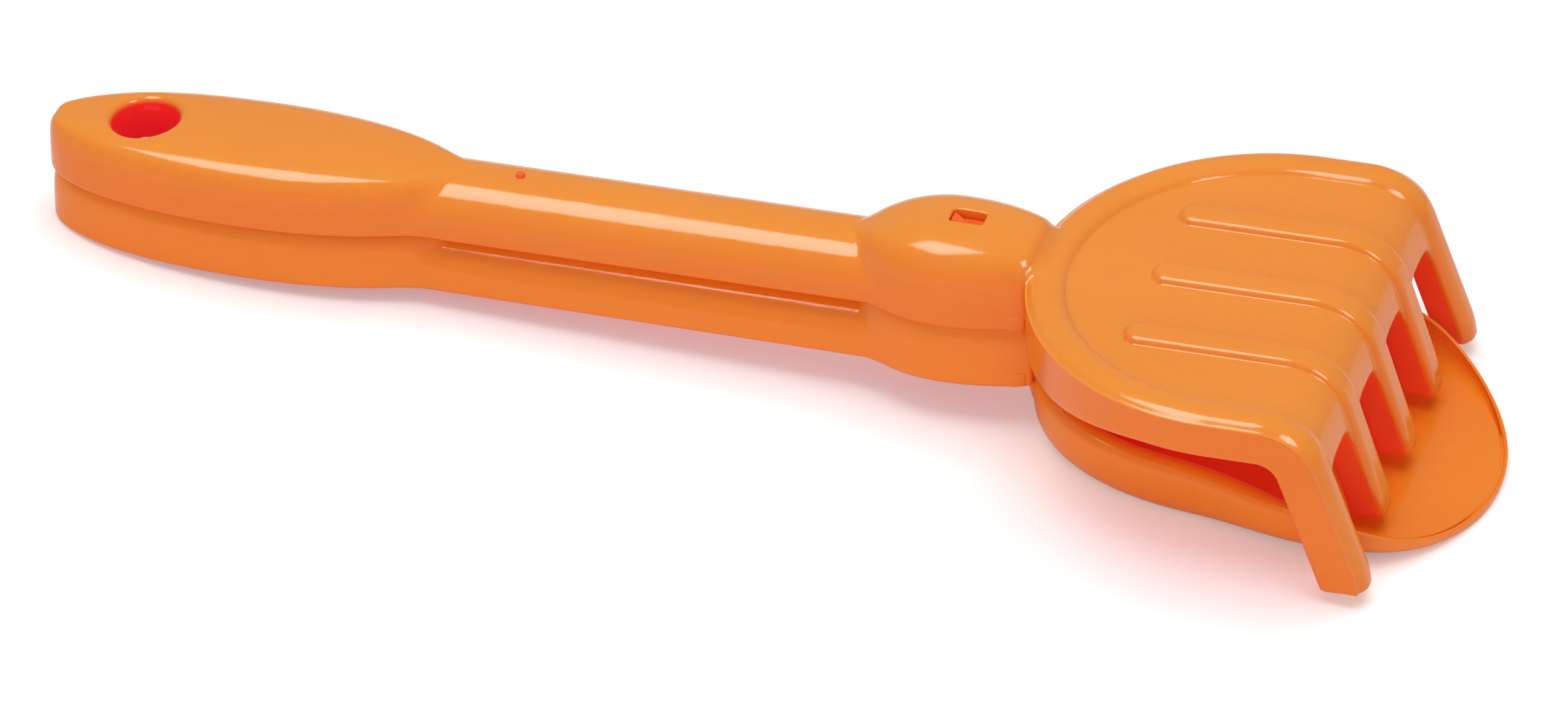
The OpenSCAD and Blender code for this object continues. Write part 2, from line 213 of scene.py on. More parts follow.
# %% [markdown]
# ## The handle's shape
# Both tools have the same handle: a boxy grip with soft shoulders, a round-backed shaft, and an
# egg-shaped ferrule that takes the head. In the solids these three are joined with a plain maximum,
# which leaves a knife line where they meet. The real moulding has a small fillet there, so the lesson
# uses a smooth maximum: where two radii come close, a little is added so that they run together.

# %% Radius of the handle at a place and an angle
GRIP_PEAK, GRIP_TAIL, GRIP_HALF, GRIP_TOP = 60.0, 57.0, 20.4, 18.2
GRIP_POWER, END_LONG, END_POWER, FADE_POWER = 2.2, 5, 4, 0.09
GRIP_FALL, FALL_LONG, FALL_POWER = 3.2, 0.8 * GRIP_PEAK, 2.5
SHAFT_HALF, SHAFT_TOP, SHAFT_END = 13.0, 15.3, 256
FERRULE_X, FERRULE_HALF, FERRULE_TOP = 250.0, 18.5, 23.2
EGG_REAR, EGG_FRONT, DOME_REAR = 27, 37, 34
DROP, DROP_LONG, DROP_POWER = 5.2, 31, 2.6
DIVE_X, DIVE_LONG, DIVE_DEEP = 271, 14, 6
GRIP_ARCH, SHAFT_ARCH, FERRULE_ARCH = 4.3, 2.25, 3.4
GRIP_DRAFT, FERRULE_DRAFT = 0.05, 0.06
SHAFT_FILLET, FERRULE_FILLET = 2.2, 2.4
FIT, WALL, PLATE_Z, HALVINGS, LEAST_HALF = 0.2, 2.0, 12.6, 40, 1e-3


def smooth_step(u):
    """0 below 0, 1 above 1, and an S curve between them."""
    u = np.clip(u, 0, 1)
    return u * u * (3 - 2 * u)


def ramp(value, start, long):
    """0 up to start, then the S curve over a length, then 1."""
    return smooth_step((value - start) / long)


def smooth_max(a, b, k):
    """The larger of two values, with a rounded corner where they differ by less than k."""
    return np.maximum(a, b) + np.maximum(k - np.abs(a - b), 0) ** 2 / (4 * k)


def grip_half_at(x):
    """Half width of the grip: a rounded end up to the widest place, then an ellipse that closes again."""
    front = 1 - np.clip(1 - x / GRIP_PEAK, 0, 1) ** GRIP_POWER
    rear = np.maximum(1 - ((x - GRIP_PEAK) / GRIP_TAIL) ** 2, 0)
    return GRIP_HALF * np.where(x < GRIP_PEAK, front ** (1 / GRIP_POWER), np.sqrt(rear))


def grip_top_at(x):
    """Height of the grip: rounded over at the end, a little lower there, and fading towards the shaft."""
    end = (1 - (1 - np.clip(x / END_LONG, 0, 1)) ** END_POWER) ** (1 / END_POWER)
    fall = GRIP_FALL * np.maximum(0, 1 - x / FALL_LONG) ** FALL_POWER
    tail = np.maximum(0, 1 - (np.maximum(0, x - GRIP_PEAK) / GRIP_TAIL) ** 2) ** FADE_POWER
    return (GRIP_TOP - fall) * end * tail


def ferrule_half_at(x):
    """Half width of the ferrule: an egg, rounder towards the shaft."""
    reach = np.where(x < FERRULE_X, EGG_REAR, EGG_FRONT)
    return FERRULE_HALF * np.sqrt(np.maximum(1 - ((x - FERRULE_X) / reach) ** 2, 0))


def ferrule_top_at(x):
    """Height of the ferrule: an egg towards the shaft, then a slow fall that dives under the head's rim."""
    rear = FERRULE_TOP * np.sqrt(np.maximum(1 - ((FERRULE_X - x) / DOME_REAR) ** 2, 0))
    front = FERRULE_TOP - DROP * (np.maximum(x - FERRULE_X, 0) / DROP_LONG) ** DROP_POWER
    onto = ramp(x, DIVE_X, DIVE_LONG)
    return np.where(x < FERRULE_X, rear, front * (1 - onto) + (PLATE_Z - DIVE_DEEP) * onto)


def arch(w, h, p, a):
    """Distance from the axis to a flattened arch of half width w and height h at the angle a."""
    w, h = np.maximum(w, LEAST_HALF), np.maximum(h, LEAST_HALF)
    return ((np.abs(np.cos(a)) / w) ** p + (np.abs(np.sin(a)) / h) ** p) ** (-1 / p)


def drafted(w, h, p, k, a):
    """The same arch with sides that lean in by a share k of the height."""
    return arch(w - k * arch(w, h, p, a) * np.sin(a), h, p, a)


def handle_radius(x, a):
    """Radius of the handle at x and the angle a: the smooth maximum of grip, shaft and ferrule."""
    grip = drafted(grip_half_at(x), grip_top_at(x), GRIP_ARCH, GRIP_DRAFT, a)
    on_shaft = (x > GRIP_PEAK) & (x < SHAFT_END)
    shaft = np.where(on_shaft, arch(SHAFT_HALF, SHAFT_TOP, SHAFT_ARCH, a), 0)
    ferrule = drafted(ferrule_half_at(x), ferrule_top_at(x), FERRULE_ARCH, FERRULE_DRAFT, a)
    return smooth_max(smooth_max(grip, shaft, SHAFT_FILLET), ferrule, FERRULE_FILLET)


def halved(beyond, low, high):
    """Range of an angle after many halvings. beyond says where the angle looked for is larger than a."""
    for _ in range(HALVINGS):
        a = (low + high) / 2
        larger = beyond(a)
        low, high = np.where(larger, a, low), np.where(larger, high, a)
    return low, high


def height_over(x, y):
    """Height of the handle's skin over a point of the plan: at the angle whose point lies y across."""
    low, high = halved(lambda a: handle_radius(x, a) * np.cos(a) > np.abs(y),
                       np.zeros_like(x), np.full_like(x, np.pi / 2))
    a = (low + high) / 2
    return handle_radius(x, a) * np.sin(a)


print("grip's half width at its peak:", grip_half_at(np.array([GRIP_PEAK])))
print("ferrule's height:", ferrule_top_at(np.array([FERRULE_X, DIVE_X])))

# %% [markdown]
# ## The handle's skin
# The skin is a loft: at each station along X, a fan of points from the lower edge on one side, over the
# top, to the lower edge on the other. Stations stand close together at the rounded end and at the two
# fillets. The front stations bow to the round rear of the head. The hanging hole and the latch window
# could be cut with a Boolean, which leaves long thin faces in the gloss. Here a rectangle of the loft is
# left out and filled with rings that run from its edge to the hole, then round over its mouth.

# %% Loft the handle, leaving room for its two openings
EDGE, ARCH_STEPS = WALL / 2, 120
HOLE = dict(centre=27.0, half=(9.0, 9.0), power=2.0, mouth=3.0, foot=4.8,
            span=(11.8, 42.0), side=13.6)
WINDOW = dict(centre=253.6, half=(4.5, 2.8), power=7.0, mouth=0.7, foot=20.0,
              span=(245.5, 261.5), side=6.2)
SKIN_RINGS, MOUTH_RINGS, BORE_RINGS = 9, 9, 6
END_TURN, END_STATIONS = 0.02, 64
STRETCHES = ((61.2, 97, 1.4), (97.5, 119, 0.6), (120, 219, 3.0), (220, 237, 0.5))
LAST_START, LAST_STATIONS = 237.8, 44
BOW_START, BOW_PASSES, EDGE_ANGLE = 262, 6, 1.2


def handle_stations(end):
    """Places along the handle: even turns round the grip's end, then steps that suit each stretch."""
    turn = np.linspace(END_TURN, np.pi / 2, END_STATIONS)
    grip = GRIP_PEAK * (1 - np.cos(turn) ** (2 / GRIP_POWER))
    steps = [np.arange(*stretch) for stretch in STRETCHES]
    return np.concatenate([grip, *steps, np.linspace(LAST_START, end, LAST_STATIONS)])


def handle_loft(end_at):
    """Points of the loft, station by angle, from one lower edge to the other. The last stations bow
    until the front edge lies on end_at, the outline of the head's rear as X over Y."""
    end = float(end_at(0.0))
    x = handle_stations(end)[:, None]
    low, _ = halved(lambda a: handle_radius(x, a) * np.sin(a) < EDGE,
                    np.zeros_like(x), np.full_like(x, EDGE_ANGLE))
    a = low + (np.pi - 2 * low) * np.linspace(0, 1, ARCH_STEPS + 1)[None]
    bow = ramp(x, BOW_START, end - BOW_START)
    bowed = x
    for _ in range(BOW_PASSES):
        y = handle_radius(bowed, a) * np.cos(a)
        bowed = x + bow * (end_at(y) - end)
    r = handle_radius(bowed, a)
    return np.stack([bowed + 0 * a, r * np.cos(a), r * np.sin(a)], -1), a


print("stations along a handle:", len(handle_stations(DIVE_X)))

# %% Fill the room round an opening, and put the handle's skin together
def loft_hole(loft, spec):
    """Index rectangle of the loft round an opening, and the rings that fill it down to the opening's foot.
    A ring point moves from the rectangle's edge straight towards the opening's outline, stays on the skin,
    and then follows a quarter round of radius mouth into the upright wall."""
    mid = ARCH_STEPS // 2
    x = loft[:, mid, 0]
    i0, i1 = np.searchsorted(x, spec["span"])
    centre_row = np.searchsorted(x, spec["centre"])
    reach = int((np.abs(loft[centre_row, :, 1]) < spec["side"]).sum()) // 2
    j0, j1 = mid - reach, mid + reach
    i, j = np.arange(i0, i1 + 1), np.arange(j0, j1 + 1)
    loop = np.concatenate([loft[i0, j[:-1]], loft[i[:-1], j1], loft[i1, j[:0:-1]], loft[i[:0:-1], j0]])
    angle = np.arctan2(loop[:, 1], loop[:, 0] - spec["centre"])

    def outline(grow):
        """Rounded outline of the opening, grown by a margin."""
        r = arch(spec["half"][0] + grow, spec["half"][1] + grow, spec["power"], angle)
        return np.stack([spec["centre"] + r * np.cos(angle), r * np.sin(angle)], -1)

    def on_skin(plan, sunk=0.0):
        """Points of the plan at the height of the handle's skin, sunk by a depth."""
        return np.column_stack([plan, height_over(plan[:, 0], plan[:, 1]) - sunk])

    rows = [loop]
    for share in np.linspace(0, 1, SKIN_RINGS)[1:]:
        rows.append(on_skin(loop[:, :2] * (1 - share) + outline(spec["mouth"]) * share))
    for turn in np.linspace(0, np.pi / 2, MOUTH_RINGS)[1:]:
        plan = outline(spec["mouth"] * (1 - np.sin(turn)))
        rows.append(on_skin(plan, spec["mouth"] * (1 - np.cos(turn))))
    bore = rows[-1]
    for share in np.linspace(0, 1, BORE_RINGS)[1:]:
        rows.append(np.column_stack([bore[:, :2], bore[:, 2] * (1 - share) + spec["foot"] * share]))
    return (i0, i1, j0, j1), as_part(np.stack(rows), wrap=True)


def handle_skin(end_at):
    """The loft without its two rectangles, the rings of both openings, and the bridge that ends it."""
    loft, angles = handle_loft(end_at)
    rows, cols = loft.shape[:2]
    quads = grid_quads(rows, cols)
    i, j = np.divmod(quads[:, 0], cols)
    parts = []
    for spec in (HOLE, WINDOW):
        (i0, i1, j0, j1), rings = loft_hole(loft, spec)
        keep = ~((i >= i0) & (i < i1) & (j >= j0) & (j < j1))
        quads, i, j = quads[keep], i[keep], j[keep]
        parts.append(rings)
    side = np.arange(ARCH_STEPS // 2)
    bridge = np.stack([side, ARCH_STEPS - side, ARCH_STEPS - side - 1, side + 1], -1)
    return [(loft.reshape(-1, 3), np.concatenate([quads, bridge]))] + parts, loft[-1], angles[-1]


# %% [markdown]
# ## Both handles
# The scoop's handle stops at the blade's rear wall. The rake's handle runs on over the head's rim as a
# thin hood, so that no seam shows on top: the hood thins out and dives into the head's own surface.

# %% Make the two handles
BLADE_REAR_X, BLADE_REAR_R = 271.85, 61.45
HEAD_MID, HEAD_HALF = 333.3, 62.25
HOOD_END, HOOD_WALL, HOOD_ANGLE, HOOD_ROWS = 281.0, 0.12, np.radians(48), 16
HOOD_X, HOOD_LONG, HOOD_Z, HOOD_RISE = 264, 6, 10, 4
MOUTH_GLOW_REACH = 0.4


def blade_rear_at(y):
    """Round rear of the scoop's blade, as X over Y."""
    return BLADE_REAR_X + BLADE_REAR_R - np.sqrt(BLADE_REAR_R ** 2 - y ** 2)


def head_rear_at(y):
    """Half circle at the rear of the rake's head, as X over Y."""
    return HEAD_MID - np.sqrt(HEAD_HALF ** 2 - y ** 2)


def hood(edge, angles):
    """Runs the upper part of the handle's front edge on over the rim, along lines of constant angle."""
    upper = np.flatnonzero(np.abs(angles - np.pi / 2) < HOOD_ANGLE)
    start, a = edge[upper], angles[upper]
    share = np.linspace(0, 1, HOOD_ROWS)[:, None]
    x = start[:, 0] * (1 - share) + HOOD_END * share
    r = handle_radius(x, a + 0 * x)
    rows = np.stack([x, r * np.cos(a), r * np.sin(a)], -1)
    rows[0] = start
    return as_part(rows)


def make_handle(name, end_at, nested, body, slot):
    """Skin, wall and place of one handle. The wall thins towards the hood, and the hole's wall gets painted
    glow.
    """
    parts, edge, angles = handle_skin(end_at)
    if nested:
        parts.append(hood(edge, angles))
    points, quads = weld(parts)
    x, y, z = points.T
    hooded = ramp(x, HOOD_X, HOOD_LONG) * ramp(z, HOOD_Z, HOOD_RISE)
    thin = hooded if nested else 0.0
    # Painted glow: the hole's bore and a thin band round its mouth get red light painted into their colour.
    inside = HOLE["half"][0] + MOUTH_GLOW_REACH - np.hypot(x - HOLE["centre"], y)
    bore = smooth_step(inside / MOUTH_GLOW_REACH)
    points, quads, glow = walled(points, quads, WALL - (WALL - HOOD_WALL) * thin, bore)
    put_piece(name, to_floor(points, nested), quads, glow, body, slot, [body + "_handle"])


make_handle("rake_grip", lambda y: head_rear_at(y) - FIT, True, "rake", "rake_plastic")
make_handle("scoop_grip", blade_rear_at, False, "shovel", "scoop_plastic")

# %% [markdown]
# ## The rake's head as a bent tray
# The head is one moulded tray: a plate with a round rim, three ribs, and a bend after which five tines
# run down with gaps between them. It could be carved from a block, but it is easier to think of it as
# flat sheet first. On the flat, S runs along the handle and Y across. Depth is measured down from the
# rim's crest. One function then carries the flat sheet along the bend, so every crease and edge follows.

# %% Carry the flat pattern round the bend
RIM_TOP, BEND_X, BEND_R, BEND_A = 16.0, 346.0, 18.5, np.radians(71)
BEND_END = BEND_X + BEND_R * BEND_A
SPLAY_INNER, SPLAY_OUTER, SPLAY_Y, SPLAY_WIDE = -0.04, 0.0, 33, 17


def carried(s, y, depth):
    """A point of the flat pattern: straight up to BEND_X, round an arc of radius BEND_R through BEND_A,
    then straight down the tines. The inner tines stand a little steeper.
    Depth is taken off along the path's normal."""
    turn = np.clip((s - BEND_X) / BEND_R, 0, BEND_A)
    past = np.maximum(s - BEND_END, 0)
    outer = ramp(np.abs(y), SPLAY_Y, SPLAY_WIDE)
    splay = SPLAY_INNER + (SPLAY_OUTER - SPLAY_INNER) * outer
    x = np.minimum(s, BEND_X) + BEND_R * np.sin(turn) + past * (np.cos(BEND_A) + splay)
    z = RIM_TOP - BEND_R + BEND_R * np.cos(turn) - past * np.sin(BEND_A)
    return np.stack(np.broadcast_arrays(x - depth * np.sin(turn), y, z - depth * np.cos(turn)), -1)


def level_end(depth, z):
    """Place along a tine where the pattern at this depth reaches the height z."""
    z_bend = RIM_TOP - BEND_R + BEND_R * np.cos(BEND_A)
    return BEND_END + (z_bend - depth * np.cos(BEND_A) - z) / np.sin(BEND_A)


print("bend ends at", np.round(carried(BEND_END, 0.0, 0.0), 1))

# %% [markdown]
# ## Relief of the plate
# The rim is a broad round bead. The ribs are bars with round shoulders and round rear ends. The plate lies
# between them at one depth, round the bend too, so that each tine is a rib or the rim running on. All of
# that is one height function: a smooth maximum of plate, rim and ribs. A gap rounds the edge beside it.

# %% Depth of the head's top surface
PLATE_DEPTH, RIM_ROUND, RIM_MID, RIM_FLAT, RIM_BLEND = 3.4, 5.0, 5.6, 0.8, 1.0
RIB_ROWS, RIB_START, RIB_FLAT, RIB_ROUND = (27.5, 0.0, -27.5), 307.1, 1.9, 2.6
RIB_SINK, RIB_SLIM, RIB_BLEND = 0.3, 0.6, 1.1
FRONT_S, GAP_TOP, GAP_SPRING, GAP_POWER, EDGE_ROUND = 365.0, 373.9, 380.0, 3.2, 1.0
OUTER_IN, SIDE_OUT, SIDE_IN, MID_EDGE, TINE_WIDE = 51.75, 31.9, 23.1, 4.4, 8.8
FAR_GAP, FAR_IN = 99.0, 30.0
half_breaks = np.array([HEAD_HALF, OUTER_IN, SIDE_OUT, SIDE_IN, MID_EDGE])
BREAKS = np.concatenate([half_breaks, -half_breaks[::-1]])
GAPS = [(BREAKS[k], BREAKS[k + 1]) for k in (1, 3, 5, 7)]


def half_round(radius, q):
    """Height of a half round of this radius at a distance q from its middle, measured from its crest."""
    return np.sqrt(np.maximum(radius ** 2 - q ** 2, 0)) - radius


def gap_distance(s, y):
    """Distance to the nearest gap: a slot whose top has two rounded corners."""
    nearest = np.full(np.broadcast(s, y).shape, FAR_GAP)
    for left, right in GAPS:
        half, off = (left - right) / 2, y - (left + right) / 2
        up = np.minimum(s - GAP_SPRING, 0) / (GAP_SPRING - GAP_TOP)
        ring = (np.abs(up) ** GAP_POWER + np.abs(off / half) ** GAP_POWER) ** (1 / GAP_POWER)
        steep = np.where(np.abs(up) > np.abs(off / half), GAP_SPRING - GAP_TOP, half)
        nearest = np.minimum(nearest, np.abs(ring - 1) * steep)
    return nearest


def relief(s, y, inset):
    """Depth of the top surface below the rim's crest. inset is the distance in from the head's outline."""
    slim = RIB_SLIM * ramp(s, BEND_X, FRONT_S - BEND_X)
    rim = half_round(RIM_ROUND, np.maximum(np.abs(inset - RIM_MID) - RIM_FLAT, 0))
    top = smooth_max(-PLATE_DEPTH, rim, RIM_BLEND)
    for row in RIB_ROWS:
        from_rib = np.hypot(np.maximum(RIB_START - s, 0), y - row)
        rib = half_round(RIB_ROUND - slim, np.maximum(from_rib - RIB_FLAT - slim, 0)) - RIB_SINK
        top = smooth_max(top, rib, RIB_BLEND)
    near = np.minimum(gap_distance(s, y), EDGE_ROUND)
    return -(top + half_round(EDGE_ROUND, EDGE_ROUND - near))


print("depth on plate and on a rib:", relief(np.array([320.0, 320.0]), np.array([14.0, 0.0]), FAR_IN))

# %% [markdown]
# ## The rim's strip and the plate's block
# A profile is carried along the head's outline: up the outer wall, over the rim, and a little way onto
# the plate. Inside that strip, a block of columns and rows fills the plate. The columns run straight
# along the ribs, so that a rib's gloss has no steps, and only the outer columns give way to the strip.

# %% Points of the strip along the outline, and of the block inside it
SIDE_ROWS, WALL_ROWS = 92, 8
STRIP_IN, RIM_IN = 14.0, 10.5
RIM_STEPS, PLATE_POINTS, TINE_STEPS, GAP_POINTS, EDGE_POINTS = 22, 6, 16, 29, 25
ARC_FINE, SIDE_FINE = 400, 300
SKIRT_LOW, SKIRT_RISE, SKIRT_X, SKIRT_LONG = -1.4, 5.2, 277, 42
NOTCH_TOP, NOTCH_HALF, NOTCH_EASE, NOTCH_FRONT = 8.0, 13, 3, 300


def eased(count):
    """Shares from 0 to 1, closer together at both ends."""
    return (1 - np.cos(np.pi * np.arange(count + 1) / count)) / 2


onto_plate = (STRIP_IN - RIM_IN) * np.linspace(0, 1, PLATE_POINTS)[1:]
inset_rows = np.concatenate([RIM_IN * eased(RIM_STEPS), RIM_IN + onto_plate])
across_tine = TINE_WIDE * eased(TINE_STEPS)[1:]
front_y = np.concatenate([
    np.linspace(HEAD_HALF - STRIP_IN, SIDE_OUT, EDGE_POINTS), SIDE_OUT - across_tine,
    np.linspace(SIDE_IN, MID_EDGE, GAP_POINTS)[1:], MID_EDGE - across_tine,
    -np.linspace(MID_EDGE, SIDE_IN, GAP_POINTS)[1:], -SIDE_IN - across_tine,
    -np.linspace(SIDE_OUT, HEAD_HALF - STRIP_IN, EDGE_POINTS)[1:]])
straight = np.clip(front_y, -SIDE_OUT, SIDE_OUT)
rear_edge = (HEAD_HALF - STRIP_IN) * np.cos(np.pi / 4)
rear_y = straight + (front_y - straight) * (rear_edge - SIDE_OUT) / (front_y[0] - SIDE_OUT)


def outline_path():
    """The head's outline from the front on the +Y side, round the rear, to the front on the -Y side,
    with the inward normal. Straight sides meet a half circle."""
    fine = np.linspace(0, np.pi / 4, ARC_FINE)
    flat_s = np.linspace(FRONT_S, HEAD_MID, SIDE_FINE)[:-1]
    side_s = np.concatenate([flat_s, HEAD_MID - HEAD_HALF * np.sin(fine)])
    side_y = np.concatenate([np.full(len(flat_s), HEAD_HALF), HEAD_HALF * np.cos(fine)])
    length = np.concatenate([[0], np.cumsum(np.hypot(np.diff(side_s), np.diff(side_y)))])
    pick = np.linspace(0, length[-1], SIDE_ROWS + 1)
    s, y = np.interp(pick, length, side_s), np.interp(pick, length, side_y)
    arc_y = rear_y * HEAD_HALF / (HEAD_HALF - STRIP_IN)
    arc_s = head_rear_at(arc_y)
    s, y = np.concatenate([s, arc_s[1:-1], s[::-1]]), np.concatenate([y, arc_y[1:-1], -y[::-1]])
    bent = s < HEAD_MID
    nx, ny = np.where(bent, HEAD_MID - s, 0), np.where(bent, -y, -np.sign(y))
    size = np.hypot(nx, ny)
    return s, y, nx / size, ny / size


def lower_edge(s, y):
    """Height of the skirt's lower edge: deeper towards the rear, and notched where the tongue goes in."""
    z = SKIRT_LOW + SKIRT_RISE * ramp(s, SKIRT_X, SKIRT_LONG)
    notch = smooth_step((NOTCH_HALF - np.abs(y)) / NOTCH_EASE) * (s < NOTCH_FRONT)
    return z + (NOTCH_TOP - z) * notch


path_s, path_y, in_s, in_y = outline_path()
strip_s = path_s + in_s * inset_rows[:, None]
strip_y = path_y + in_y * inset_rows[:, None]
strip_depth = relief(strip_s, strip_y, inset_rows[:, None])
skirt_depth = RIM_TOP - lower_edge(path_s, path_y) - EDGE
down_share = np.linspace(0, 1, WALL_ROWS + 1)[:, None]
wall_share = down_share[:-1]
wall_depth = skirt_depth * (1 - wall_share) + strip_depth[0] * wall_share

side_s, side_y = strip_s[-1, SIDE_ROWS::-1][:, None], strip_y[-1, SIDE_ROWS::-1][:, None]
rear_s = HEAD_MID - np.sqrt((HEAD_HALF - STRIP_IN) ** 2 - rear_y ** 2)
along_side = (side_s - side_s[0]) / (FRONT_S - side_s[0])
block_s = rear_s + (FRONT_S - rear_s) * along_side
block_y = straight + (front_y - straight) * (side_y - SIDE_OUT) / (front_y[0] - SIDE_OUT)
print("strip", strip_s.shape, "block", block_s.shape)

# %% [markdown]
# ## The saddle under the hood
# Where the handle's ferrule runs onto the head, the head rises to meet it in a soft saddle. The same
# height function that made the handle is used again here, so the two skins run together.

# %% Raise the head towards the ferrule, and collect the strip and the block
SADDLE, SADDLE_GAP, SADDLE_FRONT, SADDLE_HALF = 4.5, 0.15, 292, 20


def saddled(points):
    """Raise points near the ferrule: the smooth maximum of their own height and the ferrule's height."""
    near = (points[..., 0] < SADDLE_FRONT) & (np.abs(points[..., 1]) < SADDLE_HALF)
    risen = points.copy()
    over = height_over(points[near][:, 0], points[near][:, 1]) - SADDLE_GAP
    risen[near, 2] = smooth_max(points[near][:, 2], over, SADDLE)
    return risen


strip_top = saddled(carried(strip_s, strip_y, strip_depth))
strip_wall = carried(path_s, path_y, wall_depth)
rise = strip_top[0, :, 2] - carried(path_s, path_y, strip_depth[0])[:, 2]
strip_wall[..., 2] += rise * wall_share
strip = np.concatenate([strip_wall, strip_top])
block_top = saddled(carried(block_s, block_y, relief(block_s, block_y, FAR_IN)))
head_parts = [as_part(strip), as_part(block_top)]
print("highest point of the saddle:", np.round(strip_top[..., 2].max(), 2))

# %% [markdown]
# ## Tines, arches and gap walls
# Past the block's front row the sheet parts. A tine is a grid of columns that runs on to its tip. An
# arch fills the top of each gap, with rows that end on the gap's round outline. A wall is then let down
# all round each gap: down one tine, round the arch, and down the next tine.

# %% Make the tines, the arches and the walls of the gaps
TIP_OUTER, TIP_INNER, TIP_BEVEL = -32.9, -30.25, 0.8
TIP_SLOPE, SLOPE_FROM, SLOPE_LONG, SLOPE_POWER = 0.8, 0.78, 0.22, 1.5
ARCH_ROWS, TINE_ROWS, PAST_ARCH = 14, 24, 5.0
WALL_DEPTH, ARCH_DEPTH, SAME_PLACE = 8.8, 6.2, 1e-6
all_y = np.concatenate([HEAD_HALF - inset_rows[:-1], front_y, inset_rows[-2::-1] - HEAD_HALF])
arch_share = np.sin(np.pi / 2 * np.linspace(0, 1, ARCH_ROWS + 1))[:, None]
tine_share = np.linspace(0, 1, TINE_ROWS + 1)[1:, None]


def tip_slope(share):
    """Extra depth near a tip, where the tine's front falls back in a short slope."""
    return TIP_SLOPE * np.clip((share - SLOPE_FROM) / SLOPE_LONG, 0, 1) ** SLOPE_POWER


def tine_depth(s, y):
    """Depth of the top surface past the block, where the head's sides run straight."""
    return relief(s, y, HEAD_HALF - np.abs(y))


def columns_between(high, low):
    """The front row's columns from one place across the head to another."""
    return all_y[(all_y <= high + SAME_PLACE) & (all_y >= low - SAME_PLACE)]


def tine_top(high, low, tip):
    """Grid of a tine's top: rows to the spring of the arches, then rows that end level at the tip."""
    y = columns_between(high, low)
    s = FRONT_S + arch_share * (GAP_SPRING - FRONT_S) + 0 * y
    even = tine_depth(np.full_like(y, GAP_SPRING + PAST_ARCH), y)
    ends = level_end(even + TIP_SLOPE, tip + TIP_BEVEL)
    s = np.concatenate([s, GAP_SPRING + tine_share * (ends - GAP_SPRING)])
    fall = np.concatenate([0 * arch_share, tip_slope(tine_share)])
    return carried(s, y, tine_depth(s, y) + fall)


def arch_top(high, low):
    """Grid of the sheet over a gap: from the front row to the gap's round top."""
    y = columns_between(high, low)
    half, off = (high - low) / 2, y - (high + low) / 2
    ends = np.maximum(1 - np.abs(off / half) ** GAP_POWER, 0) ** (1 / GAP_POWER)
    ends = GAP_SPRING - (GAP_SPRING - GAP_TOP) * ends
    s = FRONT_S + arch_share * (ends - FRONT_S)
    return carried(s, y, tine_depth(s, y)), ends, y


def side_wall(y, tip):
    """Wall along one side of a tine, from the arches' spring to the tip, from the edge to WALL_DEPTH."""
    share = np.concatenate([[[0.0]], tine_share]).T
    edge = tine_depth(np.array([GAP_SPRING + PAST_ARCH]), np.array([y]))[0]
    depth = edge + tip_slope(share) + (WALL_DEPTH - edge - tip_slope(share)) * down_share
    ends = level_end(depth[:, -1:], tip + TIP_BEVEL)
    return carried(GAP_SPRING + share * (ends - GAP_SPRING), y, depth)


def gap_wall(high, low, tips):
    """Wall round a gap: up the first tine, round the arch, down the second tine."""
    _, ends, y = arch_top(high, low)
    off = np.abs(y - (high + low) / 2) / ((high - low) / 2)
    deep = ARCH_DEPTH + (WALL_DEPTH - ARCH_DEPTH) * off ** 2
    top = tine_depth(ends, y)
    depth = top + (deep - top) * down_share
    first, second = side_wall(high, tips[0]), side_wall(low, tips[1])
    return np.concatenate([first[:, :0:-1], carried(ends, y, depth), second[:, 1:]], axis=1)


def tip_cap(profile, tip):
    """Closes a tine's tip: a small bevel drawn in towards the middle, then a level face."""
    middle = np.array([*(profile[:, :2].min(0) + profile[:, :2].max(0)) / 2, 0])
    inward = (middle - profile) * [1, 1, 0]
    inward /= np.linalg.norm(inward, axis=1, keepdims=True)
    low = profile + inward * TIP_BEVEL
    low[:, 2] = tip
    n = len(profile)
    k = np.arange(n // 2)
    face = np.stack([n + k, n + k + 1, 2 * n - 2 - k, 2 * n - 1 - k], -1)
    return np.concatenate([profile, low]), np.concatenate([grid_quads(2, n), face])


tips = [TIP_OUTER, TIP_INNER, TIP_INNER, TIP_INNER, TIP_OUTER]
gap_walls = [gap_wall(*gap, tips[k:k + 2]) for k, gap in enumerate(GAPS)]
arch_tops = [arch_top(*gap)[0] for gap in GAPS]
tine_tops = [tine_top(*BREAKS[2 * k:2 * k + 2], tip) for k, tip in enumerate(tips)]
head_parts += [as_part(grid) for grid in gap_walls + arch_tops + tine_tops]
print("heights of the tips:", [float(np.round(top[-1, :, 2].mean(), 2)) for top in tine_tops])

# %% Make the outer walls of the two outer tines, and close the tips
def outer_wall(side):
    """Outer wall of an outer tine: the strip's own wall rows, carried on from the front row to the tip."""
    column = 0 if side > 0 else -1
    depth = np.concatenate([wall_depth[:, column], strip_depth[:1, column]])[:, None]
    share = np.concatenate([0 * arch_share, tine_share]).T
    depth = depth + tip_slope(share) * down_share
    ends = level_end(depth[:, -1:], TIP_OUTER + TIP_BEVEL)
    s = np.concatenate([FRONT_S + arch_share.T * (GAP_SPRING - FRONT_S) + 0 * ends,
                        GAP_SPRING + tine_share.T * (ends - GAP_SPRING)], axis=1)
    wall = carried(s, side * HEAD_HALF, depth)
    return wall[:, ::-1] if side > 0 else wall


outer_walls = [outer_wall(1), outer_wall(-1)]
head_parts += [as_part(grid) for grid in outer_walls]
befores = [outer_walls[0][:, 0]] + [wall[::-1, -1] for wall in gap_walls]
afters = [wall[:, 0] for wall in gap_walls] + [outer_walls[1][::-1, -1]]
for before, top, after, tip in zip(befores, tine_tops, afters, tips):
    head_parts.append(tip_cap(np.concatenate([before[:-1], top[-1], after[1:]]), tip))
print("parts of the head's skin:", len(head_parts))
